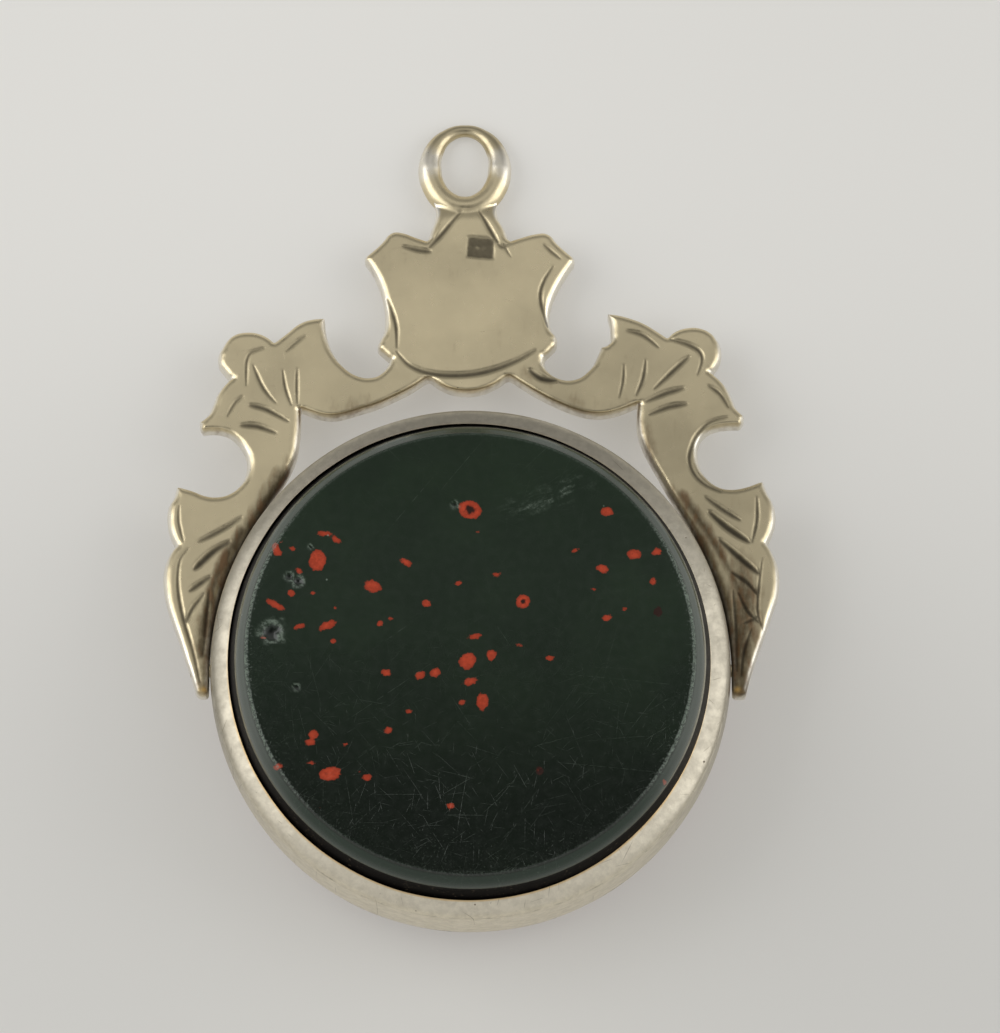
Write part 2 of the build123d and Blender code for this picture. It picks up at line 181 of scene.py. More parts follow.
# Brown tarnish on the front, in millimetres: reach on each side, strength, and the points it follows. Along the legs'
# inner edges by the drum it also stands for painted shade of the gap there.
TARNISH_AND_SHADE_TRAILS = [
    (0.40, 0.42, [(8.55, 10.20), (9.10, 9.20), (9.70, 8.20)]),
    (0.55, 0.62, [(9.35, 8.80), (10.10, 7.50), (10.90, 5.90)]),
    (0.75, 0.85, [(10.60, 6.50), (11.50, 4.40), (11.90, 3.00), (12.15, 1.60), (12.24, 0.20), (12.40, -1.20)]),
    (0.42, 0.80, [(9.90, 8.60), (10.60, 7.60), (11.60, 5.90), (12.40, 4.30), (12.78, 3.20), (12.60, 1.60),
                  (12.50, 0.20), (12.55, -1.10)]),
    (1.00, 0.78, [(12.60, 5.20), (12.90, 3.60), (12.80, 2.00), (12.60, 0.40), (12.55, -1.20)]),
    (0.70, 0.90, [(-8.80, 9.60), (-9.50, 8.40), (-10.30, 7.00), (-11.10, 5.30), (-11.70, 3.70), (-12.05, 2.20),
                  (-12.20, 0.60)]),
    (0.48, 1.00, [(-10.70, 6.80), (-11.40, 5.60), (-11.95, 4.40), (-12.20, 3.40), (-12.58, 1.50), (-12.55, 0.60)]),
    (0.65, 0.70, [(-12.50, 2.00), (-12.45, 0.60), (-12.45, -0.20), (-12.45, -1.20)]),
    (0.80, 0.90, [(12.75, 1.00), (12.65, -0.20), (12.65, -1.40)]),
    (0.50, 0.35, [(-8.20, 12.40), (-8.40, 10.90), (-8.80, 9.70)]),
    (0.45, 0.40, [(8.20, 12.40), (8.40, 11.00), (8.80, 9.90)]),
    (0.60, 0.25, [(-7.40, 13.20), (-6.20, 13.00), (-5.00, 13.30)]),
    (0.60, 0.22, [(7.40, 13.30), (6.20, 13.10), (5.00, 13.30)]),
    (0.45, 0.35, [(-0.20, 23.30), (0.10, 23.00)]),
    (0.50, 0.30, [(2.60, 14.80), (3.60, 14.40)]),
]

# How the plate's colour darkens in patches: place in millimetres and the share of the colour that is left
TONE_PATCHES = [
    (0.0, 17.4, 1.00), (0.0, 21.0, 0.97), (-3.0, 19.5, 0.95), (3.2, 19.5, 0.93), (-5.7, 13.6, 0.86),
    (5.6, 13.6, 0.77), (-8.2, 16.0, 0.92), (-10.8, 15.6, 0.92), (8.2, 16.0, 0.84), (11.0, 15.8, 0.88),
    (-11.4, 13.2, 0.90),
    (11.4, 13.2, 0.84), (-9.9, 10.8, 0.92), (-11.6, 8.0, 0.89), (-13.2, 4.3, 0.84), (-12.7, -0.7, 0.90),
    (9.3, 11.6, 0.70), (10.4, 9.0, 0.69), (12.4, 7.6, 0.76), (13.6, 4.0, 0.74), (12.8, -0.6, 0.74),
]

TONE_SPREAD = 1.7

# Bare punched recess on the shield, in millimetres: middle, half width and half height, then the reach of its
# sloping wall and its depth
PUNCH = (0.44, 21.20, 0.77, 0.65)
PUNCH_WALL, PUNCH_DEPTH = 0.26, 0.07

# Red spots of the stone, in millimetres from its middle: place, half length, half width and turn in
# degrees, then how dark the middle of the spot is.
RED_SPOTS = [
    (-0.02, 6.75, 0.56, 0.46, 161, 1.0), (-7.08, 4.36, 0.52, 0.42, 85, 0.0), (-6.46, -5.69, 0.56, 0.34, 12, 0.25),
    (-0.12, -0.39, 0.44, 0.38, 51, 0.2), (0.57, -2.30, 0.44, 0.29, 85, 0.0), (-4.52, 3.13, 0.42, 0.29, 164, 0.0),
    (-7.24, -3.86, 0.24, 0.25, 100, 0.0), (-7.36, -4.20, 0.29, 0.18, 10, 0.0), (2.45, 2.41, 0.36, 0.34, 47, 0.8),
    (-9.01, 2.25, 0.58, 0.17, 150, 0.0), (-6.60, 1.29, 0.47, 0.20, 25, 0.0), (7.60, 4.64, 0.36, 0.25, 5, 0.45),
    (-8.97, 4.82, 0.42, 0.20, 112, 0.0), (-0.02, -1.36, 0.40, 0.19, 11, 0.0), (6.34, 6.67, 0.33, 0.23, 0, 0.0),
    (6.13, 3.96, 0.32, 0.22, 167, 0.0), (0.98, -0.13, 0.28, 0.25, 76, 0.0), (-1.61, -0.94, 0.29, 0.22, 40, 0.0),
    (-2.97, 4.27, 0.33, 0.18, 144, 0.0), (0.24, 0.77, 0.35, 0.15, 13, 0.0), (-2.33, -1.06, 0.27, 0.20, 25, 0.0),
    (-6.76, 5.63, 0.37, 0.14, 178, 0.0), (-3.87, -0.95, 0.26, 0.20, 169, 0.0), (8.66, 4.75, 0.28, 0.19, 5, 0.3),
    (6.32, 1.63, 0.26, 0.18, 15, 0.0), (-2.03, 2.33, 0.23, 0.20, 171, 0.0), (-6.22, 5.34, 0.27, 0.15, 150, 0.0),
    (-7.91, 1.24, 0.36, 0.13, 19, 0.0), (-4.76, -5.87, 0.24, 0.17, 10, 0.0), (-8.30, 2.81, 0.22, 0.18, 143, 0.0),
    (-8.86, -5.36, 0.23, 0.17, 17, 0.5), (-3.77, -3.65, 0.22, 0.17, 32, 0.0),
    (-0.89, -7.20, 0.21, 0.16, 36, 0.0), (4.89, 4.83, 0.25, 0.12, 12, 0.0), (3.69, -0.26, 0.24, 0.14, 0, 0.0),
    (8.48, 3.35, 0.20, 0.17, 58, 0.6), (-7.96, 3.87, 0.20, 0.14, 139, 0.0), (1.23, 3.67, 0.22, 0.12, 8, 0.0),
    (-4.17, 1.36, 0.17, 0.16, 38, 0.0), (-0.55, 3.27, 0.22, 0.13, 6, 0.0), (-0.39, -2.35, 0.22, 0.13, 10, 0.0),
    (-6.35, 0.52, 0.17, 0.13, 26, 0.0), (-7.33, -5.18, 0.20, 0.10, 0, 0.0), (-8.26, 4.91, 0.18, 0.11, 153, 0.0),
    (-2.80, -2.76, 0.16, 0.13, 0, 0.0), (8.98, -6.00, 0.14, 0.13, 33, 0.0), (-5.75, -4.32, 0.18, 0.10, 2, 0.0),
    (-9.53, 0.73, 0.17, 0.11, 4, 0.0), (2.28, 0.35, 0.16, 0.10, 0, 0.3), (7.14, 2.05, 0.14, 0.10, 48, 0.0),
    (-7.29, 2.82, 0.14, 0.11, 176, 0.0), (5.70, 2.97, 0.13, 0.08, 0, 0.0), (-3.66, 1.59, 0.17, 0.07, 0, 0.0),
    (0.34, 5.73, 0.10, 0.08, 0, 0.0), (-8.74, 5.24, 0.10, 0.08, 90, 0.0), (-6.26, 2.10, 0.11, 0.07, 173, 0.0),
    (-6.88, -7.26, 0.12, 0.07, 0, 0.0), (-5.12, -5.56, 0.09, 0.06, 0, 0.0),
]

# Spots sunk under the green, the same way: the last value says how dull each is all over.
DULL_SPOTS = [(3.21, -5.56, 0.24, 0.20, 90, 0.6), (8.70, 1.95, 0.22, 0.26, 0, 0.85)]

# Pits in the stone's flat, in millimetres from its middle: place, radius and depth
STONE_PITS = [(-7.98, 3.36, 0.24, 0.10), (-8.38, 3.58, 0.20, 0.06), (-9.20, 0.98, 0.46, 0.12),
              (-8.02, -1.62, 0.13, 0.05), (-0.72, 6.98, 0.15, 0.04), (-7.40, 5.02, 0.10, 0.03)]


def linear(hex_colour):
    """An sRGB hex colour as linear red, green, blue and alpha."""
    parts = [int(hex_colour[i:i + 2], 16) / 255 for i in (1, 3, 5)]
    return tuple(p / 12.92 if p <= 0.04045 else ((p + 0.055) / 1.055) ** 2.4 for p in parts) + (1.0,)


def length_setting(name, description, millimetres):
    """A length in a settings group."""
    return FloatProperty(name=name, description=description, default=millimetres * MM, unit="LENGTH", precision=5)


def colour_setting(name, description, hex_colour):
    """A colour in a settings group, linear and without alpha."""
    return FloatVectorProperty(name=name, description=description, default=linear(hex_colour)[:3], size=3,
                               min=0, max=1, subtype="COLOR")


class FobYoke(bpy.types.PropertyGroup):
    """Sizes of the sawn and engraved plate"""
    thickness: length_setting("Thickness", "Gauge of the silver plate", 1.15)
    edge_round: length_setting("Edge rounding", "Radius that wear left on the plate's edges", 0.22)
    side_round: length_setting("Side rounding", "What hands added to that radius on the edges at the sides", 0.22)
    lean: FloatProperty(name="Lean", description="How far the yoke leans down to the table",
                        default=math.radians(8.7602), subtype="ANGLE")
    cut_slope: FloatProperty(name="Cut depth", description="Depth of a graver's cut as a share of its width",
                             default=0.17, min=0, max=1, subtype="FACTOR")
    solder: length_setting("Solder", "Width of the solder that ran between plate and ring", 0.25)
    cell: length_setting("Cell", "Size of the mesh cells that carry the engraving", 0.07)


class FobRing(bpy.types.PropertyGroup):
    """Sizes of the oval ring"""
    offset: length_setting("Offset", "How far the ring sits off the middle, towards the left leg", 0.3)
    hole_width: length_setting("Hole width", "Width of the ring's hole", 2.21)
    hole_length: length_setting("Hole length", "Length of the ring's hole", 3.16)
    wire: length_setting("Wire", "Thickness of the wire at the neck", 1.12)
    worn_wire: length_setting("Worn wire", "Thickness of the wire at the worn end", 0.56)
    base: length_setting("Height", "From the swivel's axis to the ring's lowest wire centre", 23.47)


class FobDrum(bpy.types.PropertyGroup):
    """Sizes of the band and its two bezels"""
    band_half_width: length_setting("Band half width", "From the middle of the band to its joint with a bezel", 1.9)
    belly: length_setting("Belly", "How far the middle of the band swells", 0.05)
    oval: FloatProperty(name="Oval", description="How much wider the belly is across the pins", default=0.006,
                        min=0, max=0.05, subtype="FACTOR")
    lip_squeeze: FloatProperty(name="Lip squeeze", description="How much narrower the lips are across the pins",
                               default=0.0087, min=0, max=0.05, subtype="FACTOR")
    lip_aside: length_setting("Lip aside", "How far the lips were rubbed to the left", 0.09)
    band_wall: length_setting("Band wall", "Sheet that the band is bent from", 0.47)
    lip_height: length_setting("Lip height", "Top of the lip over the middle of the drum", 2.6)
    lip_radius: length_setting("Lip radius", "Inner edge of the rubbed-over lip", 11.27)
    lip_wall: length_setting("Lip wall", "Width of the lip's top edge", 0.05)
    seat_radius: length_setting("Seat radius", "Inside of the bezel's wall", 11.37)
    bezel_foot: length_setting("Bezel foot", "Bottom of that wall over the middle of the drum", 1.1)
    steps: IntProperty(name="Steps", description="Faces round the drum", default=320, min=32)


class FobStones(bpy.types.PropertyGroup):
    """Sizes of the two tablets"""
    table_radius: length_setting("Flat radius", "Radius of the flat top", 10.43)
    bevel_width: length_setting("Bevel width", "Width of the polished bevel", 0.53)
    bevel_drop: length_setting("Bevel drop", "Height of the polished bevel", 1.3)
    corner: length_setting("Corner", "Radius that wear left round the flat", 0.08)
    girdle: length_setting("Girdle", "Straight height hidden in the bezel", 1.0)
    cell: length_setting("Cell", "Size of the mesh cells that carry the spots", 0.1)


class FobColours(bpy.types.PropertyGroup):
    """Colours of the metals and stones"""
    silver: colour_setting("Silver", "Silver with its thin yellow film", "#EBDCB6")
    # bare silver, also painted as a highlight on edges that face the sides
    worn_silver_and_highlight: colour_setting("Worn silver", "Bare silver where hands keep it bright", "#F4F0E6")
    # brown tarnish, also used for painted shade behind the lips and in the gap by the legs
    tarnish: colour_setting("Tarnish", "Brown tarnish in corners", "#4B3D27")
    soot: colour_setting("Cut tarnish", "Nearly black tarnish in the cuts", "#1F1A12")
    # painted warm glint on lips and leg tips
    warm_glint: colour_setting("Gilt", "Warm glint on rubbed lips and tips", "#D9B36A")
    stone: colour_setting("Bloodstone", "Ground colour of the green stone", "#1F2A1F")
    stone_cloud: colour_setting("Bloodstone cloud", "Lighter clouds in the green", "#243123")
    # painted sheen of the bevel
    stone_bevel_sheen: colour_setting("Bloodstone bevel", "Paler green that the bevel shows", "#33483A")
    stone_pit: colour_setting("Bloodstone pits", "Dark bottoms of the pits", "#0D100D")
    spot: colour_setting("Red spots", "Orange red of the spots", "#BC472D")
    spot_core: colour_setting("Spot cores", "Dark middles of some spots", "#301B16")
    scratch: colour_setting("Scratches", "Ground powder in the scratches", "#768475")
    # dirt with painted shade under the lip, and painted glints in it
    dirt_and_shade_under_lip: colour_setting("Packed dirt", "Black dirt between lip and stone", "#0D0B0A")
    glints_under_lip: colour_setting("Packed grain", "Pale grains in that dirt", "#554B3E")
    carnelian: colour_setting("Carnelian", "Red brown of the stone underneath", "#7A2A14")
    carnelian_band: colour_setting("Carnelian bands", "Lighter bands in it", "#A8502C")
    cement: colour_setting("Cement", "Bed between the stones", "#6B5B45")


class FobStage(bpy.types.PropertyGroup):
    """Floor and light"""
    floor: colour_setting("Floor", "Pale floor", "#E4E3DE")
    sky: FloatProperty(name="Sky", description="Strength of the light from all round", default=1.06, min=0)
    left_light: FloatProperty(name="Left light", description="Power of the soft light on the left, in watts",
                              default=0.46, min=0)
    right_light: FloatProperty(name="Right light", description="Power of the soft light on the right, in watts",
                               default=0.30, min=0)


# Nodes that come up often: kind, settings, the sockets that the inputs go to, in order, and the output
OFTEN = {
    "ease": ("MapRange", {"interpolation_type": "SMOOTHSTEP"}, (0, 1, 2, 3, 4), 0),
    "held": ("Math", {"operation": "MULTIPLY", "use_clamp": True}, (0, 1), 0),
    "larger": ("Math", {"operation": "MAXIMUM"}, (0, 1), 0),
    "below": ("Math", {"operation": "LESS_THAN"}, (0, 1), 0),
    "blend": ("Mix", {"data_type": "RGBA"}, (0, 6, 7), 2),
    "dim": ("VectorMath", {"operation": "SCALE"}, (0, 3), 0),
    "move": ("Mapping", {}, (0, 1, 3), 0),
    "turn": ("VectorRotate", {"rotation_type": "Z_AXIS"}, (0, 3), 0),
}


def add(tree, kind, inputs=(), out=None, **settings):
    """Add a node. Inputs are wires or values for its sockets, in order or by name, and settings its properties.
    Gives the output that out names, or each of a tuple of them, and otherwise the usual one."""
    kind, often, sockets, usual = OFTEN.get(kind, (kind, {}, range(len(inputs)), 0))
    out = usual if out is None else out
    node = tree.nodes.new("ShaderNode" + kind)
    for name, value in {**often, **settings}.items():
        setattr(node, name, value)
    for name, value in (inputs if isinstance(inputs, dict) else dict(zip(sockets, inputs))).items():
        if isinstance(value, Wire):
            tree.links.new(value.socket, node.inputs[name])
        else:
            node.inputs[name].default_value = value
    return [Wire(node.outputs[name]) for name in out] if isinstance(out, tuple) else Wire(node.outputs[out])


class Wire:
    """One output of a material's nodes. Sums with wires add the nodes that work them out."""

    def __init__(self, socket):
        self.socket, self.tree = socket, socket.id_data

    def into(self, kind, *others, out=None, **settings):
        """Output of a new node that this wire feeds, with others beside it."""
        return add(self.tree, kind, (self, *others), out, **settings)

    def __add__(self, other):
        return self.into("Math", other, operation="ADD")

    def __sub__(self, other):
        return self.into("Math", other, operation="SUBTRACT")

    def __rsub__(self, other):
        return add(self.tree, "Math", (other, self), operation="SUBTRACT")

    def __mul__(self, other):
        return self.into("Math", other, operation="MULTIPLY")

    def __truediv__(self, other):
        return self.into("Math", other, operation="DIVIDE")

    def __abs__(self):
        return self.into("Math", operation="ABSOLUTE")


def total(wires):
    """Sum of several wires."""
    wires = list(wires)
    return sum(wires[1:], wires[0])


def paint(colour, share=1.0):
    """A setting's colour, dimmed to a share, for a shader's socket."""
    return (*[part * share for part in colour], 1)


def new_material(name):
    """An empty material, and the place in it in millimetres."""
    material = bpy.data.materials.new(name)
    material.use_nodes = True
    material.node_tree.nodes.clear()
    place = add(material.node_tree, "TexCoord", out="Object")
    return material, place.into("move", (0, 0, 0), (1 / MM, 1 / MM, 1 / MM))


def finish_material(material, height, **sockets):
    """Give a material its shader, whose sockets are named with underscores, and a relief in millimetres."""
    tree = material.node_tree
    inputs = {name.replace("_", " "): value for name, value in sockets.items()}
    inputs["Normal"] = add(tree, "Bump", {"Height": height, "Strength": 1.0, "Distance": MM})
    add(tree, "OutputMaterial", [add(tree, "BsdfPrincipled", inputs)], out=())
    return material


def attribute(place, name):
    """A mark that the mesh carries, at each of its vertices."""
    return add(place.tree, "Attribute", out="Fac", attribute_name=name)


def cloud(place, size, detail=3.0, roughness=0.5, shift=0.0):
    """Soft noise with lumps of a size in millimetres."""
    place = place.into("move", (shift, shift, shift))
    return add(place.tree, "TexNoise", {"Vector": place, "Scale": 1 / size, "Detail": detail,
                                        "Roughness": roughness})


def specks(place, size, widest, narrowest):
    """Round specks, one for each cell of a size in millimetres, and the chance number of each cell."""
    gap, colour = add(place.tree, "TexVoronoi", {"Vector": place, "Scale": 1 / size}, ("Distance", "Color"))
    return gap.into("ease", widest, narrowest), colour.into("SeparateColor", out=(0, 1, 2))[0]


def scratches(place, size, width, share, shift):
    """Slightly bent scratches at all angles: one for each cell of a size in millimetres, in a share of the cells."""
    flat = place.into("move", (shift, 1.7 * shift, 0), (1, 1, 0))
    chance, middle = add(place.tree, "TexVoronoi", {"Vector": flat, "Scale": 1 / size}, ("Color", "Position"),
                         voronoi_dimensions="2D")
    turn, length, share_drawn = chance.into("SeparateColor", out=(0, 1, 2))
    turned = flat.into("VectorMath", middle, operation="SUBTRACT").into("turn", turn * (2 * math.pi))
    x, y, _ = turned.into("SeparateXYZ", out=(0, 1, 2))
    half = length * (0.75 * size)
    taper = (abs(x) / (half + 0.01)).into("ease", 1.0, 0.2)
    line = abs(y - x * x * (0.02 / size)).into("ease", width / 2, width / 6)
    return line * taper * share_drawn.into("below", share)


def silver_material(name, colours, engraved=False):
    """Sterling silver, sawn, filed and hand polished long ago: a thin warm film on the faces, darker in patches,
    bright rubbed edges that also carry a painted highlight where they face the sides, hairline scratches, and brown
    tarnish wherever a cloth doesn't reach, with painted shade along the legs by the drum and on edges facing -Y."""
    material, place = new_material(name)
    broad = cloud(place, 3.2)
    fine = cloud(place, 0.35, 4, 0.6, 7.0)
    hair = total(scratches(place, *hairs) for hairs in ((1.6, 0.035, 0.7, 3.1), (0.9, 0.03, 0.6, 11.3),
                                                         (2.6, 0.045, 0.45, 23.7)))
    colour = broad.into("ease", 0.35, 0.7).into("blend", paint(colours.silver), paint(colours.silver, 0.86))
    rough = fine.into("ease", 0.3, 0.7, 0.27, 0.36)
    metal = 1.0
    if engraved:
        uneven = (fine - 0.5) * 0.12
        # bare silver on rubbed edges, also a painted highlight on the edges that face the sides
        bright = (attribute(place, "rim") + uneven).into("ease", 0.26, 0.08)
        # the plate's colour darkens in patches by its tone
        toned_silver = colour.into("dim", attribute(place, "tone"))
        colour = (bright * 0.85).into("blend", toned_silver, paint(colours.worn_silver_and_highlight))
        # tarnish, with painted shade in the gap by the drum and on edges facing -Y: brown, streaked along the legs
        # and redder in places
        streaks = place.into("move", (0, 0, 0), (3.0, 0.9, 1.0))
        streaks = add(place.tree, "TexNoise", {"Vector": streaks, "Scale": 1.1, "Detail": 4.0})
        ragged = attribute(place, "stain_and_shade") + (broad - 0.5) * 0.7 + uneven * 2.0 + (streaks - 0.5) * 0.8
        brown = ragged.into("ease", 0.10, 0.95, 0.0, 0.92)
        redder = (*[part * share for part, share in zip(colours.tarnish, (2.1, 1.65, 1.55))], 1)
        earth = streaks.into("ease", 0.46, 0.62).into("blend", paint(colours.tarnish), redder)
        colour = brown.into("blend", colour, earth)
        black = (attribute(place, "cut") + uneven).into("ease", 0.08, 0.90, 0.0, 0.90)
        colour = black.into("blend", colour, paint(colours.soot))
        # painted warm glint at the legs' ends
        colour = (attribute(place, "warm_glint") * 0.8).into("blend", colour, paint(colours.warm_glint))
        dull = brown.into("larger", black)
        rough = rough + dull * 0.30
        metal = 1.0 - dull * 0.25
    return finish_material(material, broad * 0.012 + fine * 0.0022 - hair * 0.0016, Base_Color=colour,
                           Roughness=rough, Metallic=metal)


def drum_silver_material(name, colours, drum):
    """Sterling silver, bent and turned: rubbed pale by pockets, pitted, with a painted warm glint on the lip, dark
    dirt in the seam, dirt and painted shade behind the lip, and painted shade towards the top and beside the left
    leg."""
    material, place = new_material(name)
    x, y, z = place.into("SeparateXYZ", out=(0, 1, 2))
    radius = attribute(place, "reach")
    height = abs(z - AXIS_HEIGHT / MM)
    broad = cloud(place, 2.2, 3, 0.5, 1.0)
    satin = cloud(place, 0.7, 4, 0.65, 27.0)
    fine = cloud(place, 0.3, 4, 0.6, 5.0)
    hair = scratches(place, 1.4, 0.03, 0.7, 5.1) + scratches(place, 0.8, 0.025, 0.6, 17.3)
    pit, chance = specks(place, 0.9, 0.075, 0.02)
    pit = pit * chance.into("below", 0.30)
    plain = [0.55 * worn + 0.45 * toned_silver for worn, toned_silver in zip(colours.worn_silver_and_highlight, colours.silver)]
    colour = satin.into("ease", 0.35, 0.7).into("blend", paint(plain), paint(plain, 0.90))
    # painted shade: the band darkens towards the top, on the shoulder beside the left leg, and low on the right
    tone = y.into("ease", -11.5, 0.0, 0.92, 0.58)
    leg_shade_left = y.into("ease", -6.5, -2.0) * y.into("ease", 9.5, 6.5) * x.into("ease", -5.0, -9.0)
    leg_shade_left = leg_shade_left * radius.into("ease", 11.45, 11.80, 0.02, 0.20)
    shade_below_right = y.into("ease", -11.0, -5.0) * y.into("ease", 0.5, -2.5) * x.into("ease", 5.0, 8.0) * 0.06
    tone = tone * (1.0 - leg_shade_left) * (1.0 - shade_below_right) * fine.into("ease", 0.38, 0.62, 0.92, 1.02)
    colour = colour.into("dim", tone)
    lip, lip_edge = drum.lip_radius / MM, (drum.lip_radius + drum.lip_wall) / MM
    crest = drum.lip_height / MM
    # painted warm glint along the lip, strongest at the lower side
    warm_glint = radius.into("ease", lip_edge + 0.08, lip_edge - 0.01) * height.into("ease", crest - 0.10, crest - 0.03)
    colour = (warm_glint * y.into("ease", 3.0, -6.0, 0.08, 0.60)).into("blend", colour, paint(colours.warm_glint))
    # behind the lip: dirt and painted shade
    behind = radius.into("ease", lip + 0.03, lip - 0.01)
    seam = abs(height - drum.band_half_width / MM).into("ease", 0.05, 0.015)
    nicks = hair.into("held", broad.into("ease", 0.50, 0.62, 0.0, 0.55))
    dirt = nicks
    for soil in (pit * 0.8, seam * satin.into("ease", 0.50, 0.66, 0.0, 0.6), behind * 0.9):
        dirt = dirt.into("larger", soil)
    colour = dirt.into("blend", colour, paint(colours.tarnish))
    relief = broad * 0.035 + satin * 0.017 + fine * 0.006 - hair * 0.0016 - pit * 0.02
    return finish_material(material, relief, Base_Color=colour, Metallic=1.0,
                           Roughness=satin.into("ease", 0.3, 0.7, 0.38, 0.50) + dirt * 0.2)


def spotted_green(place, y, grain, fine, colours):
    """Colour of the bloodstone: clouded green, darker towards the lower edge, with its red spots."""
    broad = cloud(place, 5.0, 4, 0.55, 3.0)
    fray = cloud(place, 0.22, 3, 0.6, 31.0)
    colour = broad.into("ease", 0.35, 0.75).into("blend", paint(colours.stone), paint(colours.stone_cloud))
    colour = colour.into("dim", y.into("ease", -9.0, 3.5, 0.32, 1.0))
    colour = fine.into("ease", 0.55, 0.85, 0.0, 0.2).into("blend", colour, paint(colours.stone_cloud))
    # the mesh gives the distance inside the nearest spot, and the grain frays it
    frayed = attribute(place, "spot") + (fray - 0.5) * 0.24 + (grain - 0.5) * 0.08
    core = attribute(place, "core").into("held", 1.0)
    spot = fray.into("ease", 0.35, 0.65).into("blend", paint(colours.spot), paint(colours.spot, 0.72))
    spot = (frayed.into("ease", 0.13, 0.03) * 0.45).into("blend", spot, paint(colours.spot, 0.35))
    spot = (core + (fray - 0.5)).into("ease", 0.15, 0.6).into("blend", spot, paint(colours.spot_core))
    return (frayed.into("ease", 0.0, 0.05) * 0.95).into("blend", colour, spot)


def stone_scuff(place, grain):
    """A cloudy scuff near the upper edge of the bloodstone, drawn out along its stroke."""
    stroke = place.into("move", (-3.55, -7.35, 0)).into("turn", math.radians(-22))
    along, across, _ = stroke.into("SeparateXYZ", out=(0, 1, 2))
    drawn = stroke.into("move", (0, 0, 0), (0.7, 2.6, 1))
    hairs = add(place.tree, "TexNoise", {"Vector": drawn, "Scale": 1.7, "Detail": 5.0, "Roughness": 0.65})
    lumps = cloud(place, 0.8, 3, 0.6, 19.0).into("ease", 0.38, 0.62)
    scuff = abs(along).into("ease", 2.9, 0.3) * abs(across).into("ease", 0.85, 0.05) * hairs.into("ease", 0.44, 0.66)
    return scuff * (lumps * grain.into("ease", 0.40, 0.62, 0.25, 1.0))


# Scratches of the bloodstone: size of the cell that holds each one, width and shift, in millimetres
STONE_SCRATCHES = [(1.2, 0.020, 2.3), (2.1, 0.022, 9.1), (1.7, 0.020, 14.9), (3.4, 0.026, 21.7), (2.7, 0.022, 33.1),
                   (4.4, 0.026, 41.9), (0.9, 0.018, 55.3), (1.4, 0.020, 63.9), (0.7, 0.018, 71.3), (2.4, 0.024, 88.1)]


